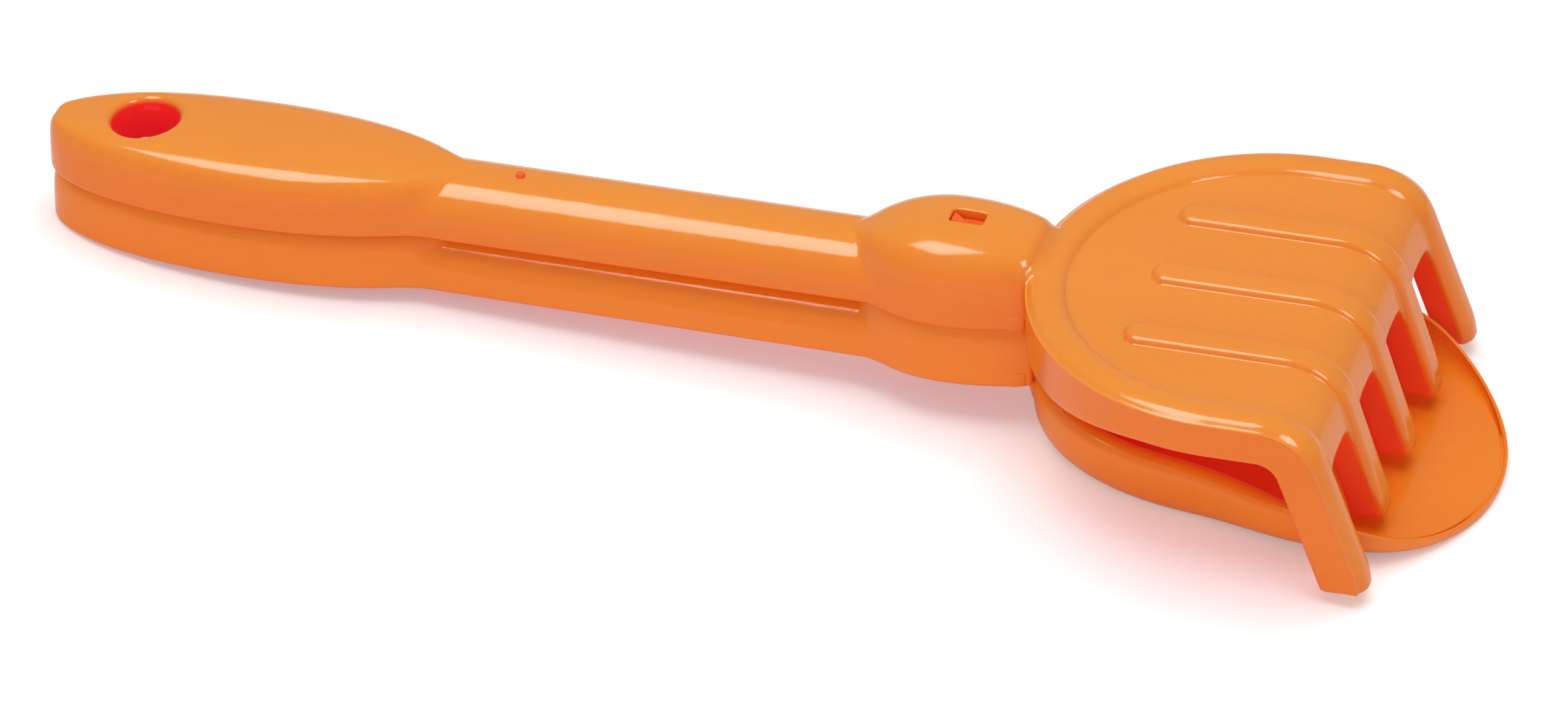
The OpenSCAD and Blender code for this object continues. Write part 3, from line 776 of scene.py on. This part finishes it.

# %% [markdown]
# ## The head's wall, and the painted red between its tines
# The tray gets the handle's wall, thinned to almost nothing where it lies under the hood. Between the
# tines light bounces from one orange face to the next and turns red. Subsurface light could show that, but
# slowly, so faces beside a gap that look sideways or down get a share of painted glow, below the bend's
# edge only.

# %% Give the head its wall and its glow
HOODED_Z, HOODED_RISE, HOODED_FRONT, HOODED_HALF, HOODED_WALL = 12, 3, 277, 18, 0.2
GAP_GLOW, GLOW_FACING, FACING_EASE = 0.68, 0.5, 0.3
GLOW_HALF, GLOW_REAR, GLOW_TOP = 52, 352, -1.5
GLOW_BELOW, BELOW_EASE = 2.7, 0.8

points, quads = weld(head_parts)
x, y, z = points.T
hooded = ramp(z, HOODED_Z, HOODED_RISE) * (x < HOODED_FRONT) * (np.abs(y) < HOODED_HALF)
normal = point_normals(points, quads)
# Painted glow: faces beside a gap that look sideways or down, below the bend's edge, get red light painted
# into their colour.
facing = np.maximum(np.abs(normal[:, 1]), -normal[:, 2])
below = -(points - carried(BEND_END, 0.0, 0.0)) @ [np.sin(BEND_A), 0, np.cos(BEND_A)]
beside_gap = ramp(facing, GLOW_FACING, FACING_EASE)
beside_gap *= (np.abs(y) < GLOW_HALF) & (x > GLOW_REAR) & (z < GLOW_TOP)
beside_gap *= ramp(below, GLOW_BELOW, BELOW_EASE)
points, quads, glow = walled(points, quads, WALL - (WALL - HOODED_WALL) * hooded, GAP_GLOW * beside_gap)
put_piece("rake_fork", to_floor(points, True), quads, glow, "rake", "rake_plastic", ["rake_head"])

# %% [markdown]
# ## The scoop's blade
# The blade is a round-tipped bowl that lies on the floor. Its skin is a set of rings: a flat floor that
# grows from a middle point, then a bowed wall that rises and flares, then a lip that rolls inwards. The
# lip is high along the sides and rear and comes down to a thin edge at the tip, to push into sand.

# %% Make the blade
BLADE_WALL, LIP_HIGH, LIP_TIP, BLADE_TIP, LIP_FALL = 2.0, 18.2, 3.4, 396.432, 46
FOOT = dict(rear=277.0, rear_mid=325.0, rear_power=2.1, rear_half=35.3,
            front_half=34.6, front_reach=39.8, front_power=2.4)
LIP = dict(rear=BLADE_REAR_X, rear_mid=330.0, rear_power=2.25, rear_half=41.5,
           front_half=49.5, front_reach=40.432, front_power=1.9)
BLADE_MID, FRONT_MID, FLARE_X, FLARE_LONG = 335, 356.0, 318, 38
LIP_ROLL, TIP_ROLL, ROLL_X, ROLL_LONG = 3.8, 0.3, 374, 40
FLOOR_SHARES, BOW_POWER, RISE_POWER = (0, 0.3, 0.6, 0.8, 0.92, 0.97), 2.2, 1.45
TURN_POINTS, SIDE_POINTS, WALL_RINGS, ROLL_RINGS = 101, 26, 33, 8
THIN_HIGH, THIN_X, THIN_LONG, THINNING, BLADE_GLOW = 6, 330, 45, 0.9, 0.7


def blade_outline(bow):
    """Outline of the blade between its foot (0) and its lip (1): half a superellipse at the rear, half
    a wider one at the front, and sides between them that flare on an S curve."""
    mid = {key: FOOT[key] + (LIP[key] - FOOT[key]) * bow for key in FOOT}
    turn = np.linspace(-np.pi / 2, np.pi / 2, TURN_POINTS)
    front_x = FRONT_MID + mid["front_reach"] * np.cos(turn) ** (2 / mid["front_power"])
    front_y = np.sign(turn) * np.abs(np.sin(turn)) ** (2 / mid["front_power"])
    rear_x = mid["rear_mid"] - (mid["rear_mid"] - mid["rear"]) * np.cos(turn) ** (2 / mid["rear_power"])
    rear_y = -np.sign(turn) * np.abs(np.sin(turn)) ** (2 / mid["rear_power"])
    side = FRONT_MID + (mid["rear_mid"] - FRONT_MID) * np.linspace(0, 1, SIDE_POINTS)[1:-1]
    x = np.concatenate([front_x, side, rear_x, side[::-1]])
    y = np.concatenate([front_y, 1 + 0 * side, rear_y, -1 + 0 * side])
    flare = ramp(x, FLARE_X, FLARE_LONG)
    half = mid["rear_half"] + (mid["front_half"] - mid["rear_half"]) * flare
    return x, y * half


def blade_skin():
    """Rings of the floor, then of a bowed wall, then of a lip that rolls inwards on a quarter circle.
    The roll shrinks to almost nothing at the tip."""
    x, y = blade_outline(1.0)
    roll = TIP_ROLL + (LIP_ROLL - TIP_ROLL) * smooth_step((ROLL_X - x) / ROLL_LONG)
    high = smooth_step((BLADE_TIP + 1 - x) / LIP_FALL)
    top = LIP_TIP + (LIP_HIGH - LIP_TIP) * high - BLADE_WALL / 2
    inward = np.stack([np.roll(y, 1) - np.roll(y, -1), np.roll(x, -1) - np.roll(x, 1)], -1)
    inward *= np.sign(((np.array([BLADE_MID, 0]) - np.stack([x, y], -1)) * inward).sum())
    inward /= np.linalg.norm(inward, axis=1, keepdims=True)
    x, y = blade_outline(0.0)
    rows = [np.stack([BLADE_MID + (x - BLADE_MID) * share, y * share, 0 * x], -1) for share in FLOOR_SHARES]
    for rise in np.linspace(0, 1, WALL_RINGS):
        x, y = blade_outline(1 - (1 - rise) ** BOW_POWER)
        rows.append(np.stack([x, y, (top - roll) * rise ** RISE_POWER], -1))
    edge = rows[-1]
    for turn in np.pi / 2 * np.linspace(0, 1, ROLL_RINGS)[1:]:
        drawn_in = inward.T * roll * (1 - np.cos(turn))
        rows.append(edge + np.stack([*drawn_in, roll * np.sin(turn)], -1))
    return as_part(np.stack(rows), wrap=True)


points, quads = weld([blade_skin()])
thin = smooth_step(points[:, 2] / THIN_HIGH) * ramp(points[:, 0], THIN_X, THIN_LONG)
points, quads, glow = walled(points, quads, BLADE_WALL - THINNING * thin)
# Painted shade: the inner skin gets red light painted into its colour towards the rear, where the rake's
# head shades the bowl.
glow *= BLADE_GLOW * smooth_step((ROLL_X - points[:, 0]) / THIN_LONG)
points = (points - [CENTRE_X, 0, 0]) / MM_PER_M
put_piece("scoop_blade", points, quads, glow, "shovel", "scoop_plastic", ["shovel_blade"])

# %% [markdown]
# ## The scoop's neck
# Behind the blade's rear wall a round-nosed neck goes up into the ferrule. At rest the rake hides it, and
# it shows when the rake is lifted off. Arches that shrink like the end of an egg make it.

# %% Make the neck
NECK_BACK, NECK_LONG, NECK_HALF, NECK_TOP, NECK_FOOT = 268.5, 15.5, 12.6, 17.6, -11.4
SIDE_POWER, TOP_POWER, NECK_ARCH, NECK_WALL = 0.8, 0.7, 2.8, 1.6
LEG_STEPS = ((0.58, 273, 2), (0.42, 276, 3.5))
NECK_ROWS, NECK_POINTS, LEG_POINTS = 30, 41, 9


def neck_skin():
    """Arches from inside the ferrule to the nose, each with two straight legs down to the blade's floor.
    The legs reach down in two steps: each gives a share of their length, from a place on over a stretch."""
    turn = np.linspace(0, np.pi / 2, NECK_ROWS)[:, None]
    x = NECK_BACK + NECK_LONG * np.sin(turn)
    half, top = NECK_HALF * np.cos(turn) ** SIDE_POWER, NECK_TOP * np.cos(turn) ** TOP_POWER
    a = np.linspace(0, np.pi, NECK_POINTS)
    r = arch(half, top, NECK_ARCH, a)
    reach = sum(share * ramp(x, start, long) for share, start, long in LEG_STEPS)
    leg = np.linspace(1, 0, LEG_POINTS)[:-1] * NECK_FOOT * reach
    y = np.concatenate([half + 0 * leg, r * np.cos(a), -half + 0 * leg], axis=1)
    z = np.concatenate([leg, r * np.sin(a), leg[:, ::-1]], axis=1)
    return as_part(np.stack([x + 0 * y, y, z], -1))


points, quads = weld([neck_skin()])
points, quads, glow = walled(points, quads, NECK_WALL)
put_piece("scoop_neck", to_floor(points, False), quads, glow, "shovel", "scoop_plastic")

# %% [markdown]
# ## Small marks of the moulding
# Three small things tell that these are mouldings that clip together: the latch that shows in the
# ferrule's window, the outline of a clip low on each side of the ferrule, and the nub that the gate
# leaves on the shaft. Each one is a button: an outline drawn in and lifted row by row.

# %% Buttons: latches, clips and gate nubs
BUTTON_POINTS = 56
button_turn = np.linspace(0, 2 * np.pi, BUTTON_POINTS, endpoint=False)


def button(half, power, rows):
    """Rows of a rounded outline. A row gives how far the outline is drawn in, and its height; a row that
    draws in as far as the outline reaches ends in a point."""
    c, s = np.cos(button_turn), np.sin(button_turn)
    r = arch(*half, power, button_turn)
    inset, height = np.array(rows).T[..., None]
    grow = np.maximum(1 - inset / min(half), 0)
    flat = np.stack([r * c * grow, r * s * grow, height + 0 * c], -1)
    return flat, grid_quads(len(rows), len(button_turn), wrap=True)


def side_of_handle(x, z):
    """Half width of the handle at a height: at the angle whose point lies that high."""
    low, _ = halved(lambda a: handle_radius(x, a) * np.sin(a) < z,
                    np.zeros_like(x), np.full_like(x, np.pi / 2))
    return handle_radius(x, low) * np.cos(low)


LATCH = [(2.6, -3.0), (0, -3.0), (0, -0.5), (0.12, -0.15), (0.4, 0.0), (2.6, 0.0)]
CLIP = [(2.0, -0.5), (0, -0.5), (0, 0.1), (0.1, 0.2), (0.3, 0.25), (2.0, 0.25)]
NUB = [(1.25, -0.6), (0, -0.6), (0, 0.3), (0.15, 0.9), (0.5, 1.25), (1.25, 1.35)]
LATCH_SHAPE, CLIP_SHAPE, NUB_SHAPE = ((4.25, 2.55), 7.0), ((2.1, 2.0), 5.0), ((1.25, 1.25), 2.0)
LATCH_TOP, LATCH_RISE, LATCH_LOW, LATCH_FOOT = 20.7, 1.9, -2, 17.5
LATCH_REAR, LATCH_EASE, LATCH_REACH = 4.1, 2.4, 5
CLIP_X, CLIP_Z = 270.4, 2.3
NUB_X, NUB_REACH, MARK_GLOW = 131.5, 2, 0.6


def small_marks(tool, nested, body, slot):
    """The latch with its sloping top, two clips on the ferrule's sides, and the gate nub, as one piece."""
    flat, quads = button(*LATCH_SHAPE, LATCH)
    slope = 1 - smooth_step((flat[..., 0] + LATCH_REAR) / LATCH_EASE)
    latch = flat + np.array([WINDOW["centre"], 0, 0])
    sloped = flat[..., 2] + LATCH_TOP + LATCH_RISE * slope
    latch[..., 2] = np.where(flat[..., 2] > LATCH_LOW, sloped, LATCH_FOOT)
    parts = [(latch.reshape(-1, 3), quads)]
    flat, quads = button(*CLIP_SHAPE, CLIP)
    x, z = CLIP_X + flat[..., 0], CLIP_Z + flat[..., 1]
    wide = side_of_handle(x, z) + flat[..., 2]
    for side in (1, -1):
        clip = np.stack([x, side * wide, z], -1)
        parts.append((clip.reshape(-1, 3), quads if side < 0 else quads[:, ::-1]))
    flat, quads = button(*NUB_SHAPE, NUB)
    nub = flat + np.array([NUB_X, 0, 0])
    nub[..., 2] = flat[..., 2] + height_over(nub[..., 0], nub[..., 1])
    parts.append((nub.reshape(-1, 3), quads))
    points, quads = weld(parts)
    x = points[:, 0]
    # Painted glow: the latch, down in the shade of its window, and the gate nub get red light painted into
    # their colour.
    red = (np.abs(x - WINDOW["centre"]) < LATCH_REACH) | (np.abs(x - NUB_X) < NUB_REACH)
    put_piece(tool + "_marks", to_floor(points, nested), quads, MARK_GLOW * red, body, slot)


small_marks("rake", True, "rake", "rake_plastic")
small_marks("scoop", False, "shovel", "scoop_plastic")

# %% [markdown]
# ## Glossy orange plastic
# The plastic is dyed through and shines. Up close it is not one flat colour: the dye swirls a little
# where the melt flowed, the gloss is dulled in faint patches by handling, and the surface has the fine
# waviness of a moulded skin. Inside faces glow red, because light that has come through a thin orange
# wall, or bounced between two, has lost its green. For the same reason sides look redder than tops.
# Subsurface scattering could do that, slowly and with odd tints where a wall thins out, so both are
# painted light here: the glow number of each point mixes in the red and a faint emission, and faces
# that look sideways get a redder painted shade than faces that look up. A small class writes the
# shader's sums as Python.

# %% A socket that can be added and multiplied
class Mark:
    """One output socket of a material's nodes. Sums and products of marks add Math nodes."""

    def __init__(self, tree, socket):
        self.tree, self.socket = tree, socket

    def node(self, kind, settings=(), **inputs):
        """Any node: its settings are set first, then the values or links of its sockets."""
        made = self.tree.nodes.new(kind)
        for key, value in dict(settings).items():
            setattr(made, key, value)
        for key, value in inputs.items():
            by_number = key[0] == "i" and key[1:].isdigit()
            spot = made.inputs[int(key[1:]) if by_number else key]
            if isinstance(value, Mark):
                self.tree.links.new(value.socket, spot)
            else:
                spot.default_value = value
        return made

    def into(self, shader, name):
        """Link this value or colour to a named socket of a shader."""
        self.tree.links.new(self.socket, shader.inputs[name])

    def math(self, operation, first, second):
        """A Math node of two values."""
        made = self.node("ShaderNodeMath", {"operation": operation}, i0=first, i1=second)
        return Mark(self.tree, made.outputs[0])

    def __add__(self, other):
        return self.math("ADD", self, other)

    def __mul__(self, other):
        return self.math("MULTIPLY", self, other)

    def scaled(self, scale):
        """This vector, scaled along each axis."""
        return Mark(self.tree, self.node("ShaderNodeMapping", Vector=self, Scale=scale).outputs[0])

    def noise(self, scale, detail, rough=0.55):
        """Noise on this vector, from 0 to 1."""
        made = self.node("ShaderNodeTexNoise", Vector=self, Scale=scale, Detail=detail, Roughness=rough)
        return Mark(self.tree, made.outputs["Fac"])

    def mix(self, low, high):
        """A colour that goes from low to high as this value goes from 0 to 1."""
        made = self.node("ShaderNodeMix", {"data_type": "RGBA"}, i0=self, i6=low, i7=high)
        return Mark(self.tree, made.outputs[2])

    def spread(self, low, high):
        """This value stretched so that low becomes 0 and high becomes 1, and held there."""
        made = self.node("ShaderNodeMapRange", {"clamp": True}, i0=self, i1=low, i2=high)
        return Mark(self.tree, made.outputs[0])


# %% The two plastics
INSIDE_RED, BLACK = (0.90, 0.026, 0.010, 1), (0, 0, 0, 1)
# Painted shade: each tool has a pair of lit colours for faces that look up and a pair of redder, shaded
# colours for faces that look sideways. The red and the inside pairs give painted glow: a share of red and a
# faint emission.
RAKE_PAINTED_LIT_TOPS = (0.885, 0.276, 0.031, 1), (0.925, 0.308, 0.040, 1)
RAKE_PAINTED_SHADE_SIDES = (0.88, 0.178, 0.011, 1), (0.92, 0.202, 0.016, 1)
RAKE_INSIDE = 0.95, (0.16, 0.003, 0.011, 1)
SCOOP_PAINTED_LIT_TOPS = (0.865, 0.228, 0.012, 1), (0.905, 0.256, 0.018, 1)
SCOOP_PAINTED_SHADE_SIDES = (0.93, 0.214, 0.013, 1), (0.96, 0.238, 0.018, 1)
SCOOP_INSIDE = 0.75, (0.07, 0.002, 0.003, 1)
# A noise is its scale and its detail.
FLOW, SWIRL, SPECKLE, SPECKLE_SHARE = (9, 26, 26), (1.0, 3.0), (420.0, 2.0), 0.25
SCUFFS, SCRATCHES, PATCHES = (60, 900, 900), (1.0, 2.0), (38.0, 5.0)
WAVES, RIPPLES, RIPPLE_SHARE = (95.0, 2.0), (700.0, 1.0), 0.2
UP_RANGE, DYE_RANGE, PATCH_RANGE, SCRATCH_RANGE = (0.0, 0.85), (0.3, 0.7), (0.42, 0.72), (0.6, 0.8)
GLOSS, HANDLED_DULL, SCUFFED_DULL = 0.11, 0.06, 0.04
WAVE_STRENGTH, WAVE_HEIGHT = 0.16, 0.0006
PLASTIC_IOR, PLASTIC_SHINE = 1.5, 0.36


def new_material(name):
    """A material, its node tree and its Principled shader."""
    material = bpy.data.materials.new(name)
    material.use_nodes = True
    return material, material.node_tree, material.node_tree.nodes["Principled BSDF"]


def set_sockets(shader, values):
    """Give sockets of a shader one value each."""
    for name, value in values.items():
        shader.inputs[name].default_value = value


def orange_plastic(name, tops, sides, inside):
    """Dyed gloss plastic: dye swirls in the colour, handling in the gloss, fine waves in the normal.
    tops and sides are each a pair of colours, for faces that look up and for faces that look sideways:
    painted shade, lit colours on top and redder shaded ones on the sides.
    inside gives the share of red on the inside faces and the light that comes through them, both painted
    glow."""
    material, tree, shader = new_material(name)
    coordinates = tree.nodes.new("ShaderNodeTexCoord")
    place, facing = (Mark(tree, coordinates.outputs[kind]) for kind in ("Object", "Normal"))
    upward = Mark(tree, place.node("ShaderNodeSeparateXYZ", Vector=facing).outputs["Z"])
    swirl = place.scaled(FLOW).noise(*SWIRL) * (1 - SPECKLE_SHARE)
    dye = (swirl + place.noise(*SPECKLE) * SPECKLE_SHARE).spread(*DYE_RANGE)
    # Painted shade: the colour goes from the redder side colours to the lit top colours as a face turns up,
    # over the dye swirl.
    dye_and_painted_shade = upward.spread(*UP_RANGE).mix(dye.mix(*sides), dye.mix(*tops))
    glow = Mark(tree, place.node("ShaderNodeAttribute", {"attribute_name": "glow"}).outputs["Fac"])
    red_share, through = inside
    # Painted glow: glow mixes in the red and, squared, a faint emission, for light that comes through the
    # plastic.
    (glow * red_share).mix(dye_and_painted_shade, INSIDE_RED).into(shader, "Base Color")
    (glow * glow).mix(BLACK, through).into(shader, "Emission Color")
    handled = place.noise(*PATCHES).spread(*PATCH_RANGE)
    scuffed = place.scaled(SCUFFS).noise(*SCRATCHES).spread(*SCRATCH_RANGE)
    (handled * HANDLED_DULL + scuffed * SCUFFED_DULL + GLOSS).into(shader, "Roughness")
    waves = place.noise(*WAVES) * (1 - RIPPLE_SHARE) + place.noise(*RIPPLES) * RIPPLE_SHARE
    bump = place.node("ShaderNodeBump", Height=waves, Strength=WAVE_STRENGTH, Distance=WAVE_HEIGHT)
    tree.links.new(bump.outputs[0], shader.inputs["Normal"])
    set_sockets(shader, {"IOR": PLASTIC_IOR, "Specular IOR Level": PLASTIC_SHINE, "Emission Strength": 1.0})
    return material


finishes = {
    "rake_plastic": orange_plastic("rake_orange", RAKE_PAINTED_LIT_TOPS, RAKE_PAINTED_SHADE_SIDES, RAKE_INSIDE),
    "scoop_plastic": orange_plastic("scoop_orange", SCOOP_PAINTED_LIT_TOPS, SCOOP_PAINTED_SHADE_SIDES, SCOOP_INSIDE),
}
for piece in bpy.data.objects:
    if piece.get("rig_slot") in finishes:
        piece.data.materials.append(finishes[piece["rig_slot"]])

# %% [markdown]
# ## Table, light and camera
# The pair lies on a white table under soft studio light: a broad ceiling lamp and a front lamp that show
# in no reflection, an even white surround, and two window-like lamps on the near side that show only in
# reflections. They draw the long pale streaks along shoulders and rims and the short ones on the bend.
# The surround is plain white to the camera and dimmer as a light, so the plastic keeps its colour. The
# camera stands where the photograph was taken from.

# %% Table and surround
TABLE_REACH, TABLE_POINTS, TABLE_Z = 4, 9, -0.0002
TABLE_GREYS = (0.955, 0.955, 0.955, 1), (0.975, 0.975, 0.975, 1)
TABLE_LIFT, TABLE_ROUGH, TABLE_SHINE, TABLE_GRAIN = (0.22, 0.22, 0.22, 1), 0.7, 0.1, (6.0, 3.0)
SURROUND_LIGHT = 0.46


def seen_by_camera(tree):
    """1 where the camera looks straight at a surface, 0 for light that bounces."""
    return Mark(tree, tree.nodes.new("ShaderNodeLightPath").outputs["Is Camera Ray"])


def white_table():
    """A flat table, drawn as a grid, just under the scoop."""
    reach = np.linspace(-TABLE_REACH, TABLE_REACH, TABLE_POINTS)
    x, y = np.meshgrid(reach, reach, indexing="ij")
    mesh = bpy.data.meshes.new("table")
    points, quads = as_part(np.stack([x, y, np.full_like(x, TABLE_Z)], -1))
    mesh.from_pydata(points.tolist(), [], quads[:, ::-1].tolist())
    table = placed("table", mesh)
    paint, tree, shader = new_material("table_white")
    place = Mark(tree, tree.nodes.new("ShaderNodeTexCoord").outputs["Object"])
    place.noise(*TABLE_GRAIN).mix(*TABLE_GREYS).into(shader, "Base Color")
    seen_by_camera(tree).mix(BLACK, TABLE_LIFT).into(shader, "Emission Color")
    set_sockets(shader, {
        "Roughness": TABLE_ROUGH, "Specular IOR Level": TABLE_SHINE, "Emission Strength": 1.0})
    mesh.materials.append(paint)


def white_surround(light):
    """A world that is white to the camera and gives the given light everywhere else."""
    world = bpy.data.worlds.new("surround")
    bpy.context.scene.world = world
    world.use_nodes = True
    tree = world.node_tree
    back = tree.nodes["Background"]
    back.inputs["Color"].default_value = (1, 1, 1, 1)
    (seen_by_camera(tree) * (1 - light) + light).into(back, "Strength")


white_table()
white_surround(SURROUND_LIGHT)
print("table at", TABLE_Z, "m, surround's light", SURROUND_LIGHT)

# %% Lamps
def soft_lamp(name, place, aim, size, power):
    """A rectangular lamp that faces a point."""
    data = bpy.data.lights.new(name, "AREA")
    data.shape, data.size, data.size_y, data.energy = "RECTANGLE", size[0], size[1], power
    lamp = placed(name, data)
    lamp.location = place
    lamp.rotation_mode = "QUATERNION"
    lamp.rotation_quaternion = (Vector(aim) - Vector(place)).to_track_quat("-Z", "Y")
    print(name, "power", power)
    return lamp


ceiling = soft_lamp(
    "ceiling_lamp", place=(0.0, 0.1, 2.2), aim=(0.0, 0, 0.0), size=(2.0, 2.0), power=28.0)
front = soft_lamp(
    "front_lamp", place=(0.1, -2.2, 0.7), aim=(0.0, 0, 0.0), size=(2.0, 0.8), power=9.6)
ceiling.visible_glossy = front.visible_glossy = False
left_window = soft_lamp(
    "left_window", place=(-0.68, -0.66, 1.72), aim=(0.0, 0, 0.02), size=(1.05, 0.95), power=29.5)
right_window = soft_lamp(
    "right_window", place=(1.02, -0.82, 1.22), aim=(0.12, 0, 0.04), size=(0.60, 0.55), power=11.0)
left_window.visible_diffuse = right_window.visible_diffuse = False

# %% Camera
LENS, SENSOR, CAMERA_PLACE = 228.68, 36.0, (0.58624, -2.02881, 1.54381)
CAMERA_RIGHT, CAMERA_UP = (0.95661, 0.29058, 0.02164), (-0.18864, 0.56099, 0.80604)
CAMERA_AHEAD = (-0.22208, 0.77515, -0.59146)

data = bpy.data.cameras.new("camera")
data.lens, data.sensor_width, data.sensor_fit = LENS, SENSOR, "HORIZONTAL"
camera = placed("camera", data)
turn = Matrix((CAMERA_RIGHT, CAMERA_UP, -Vector(CAMERA_AHEAD))).transposed()
camera.matrix_world = Matrix.Translation(CAMERA_PLACE) @ turn.to_4x4()
bpy.context.scene.camera = camera
bpy.context.scene.view_settings.view_transform = "Standard"
print("camera at", tuple(camera.location))
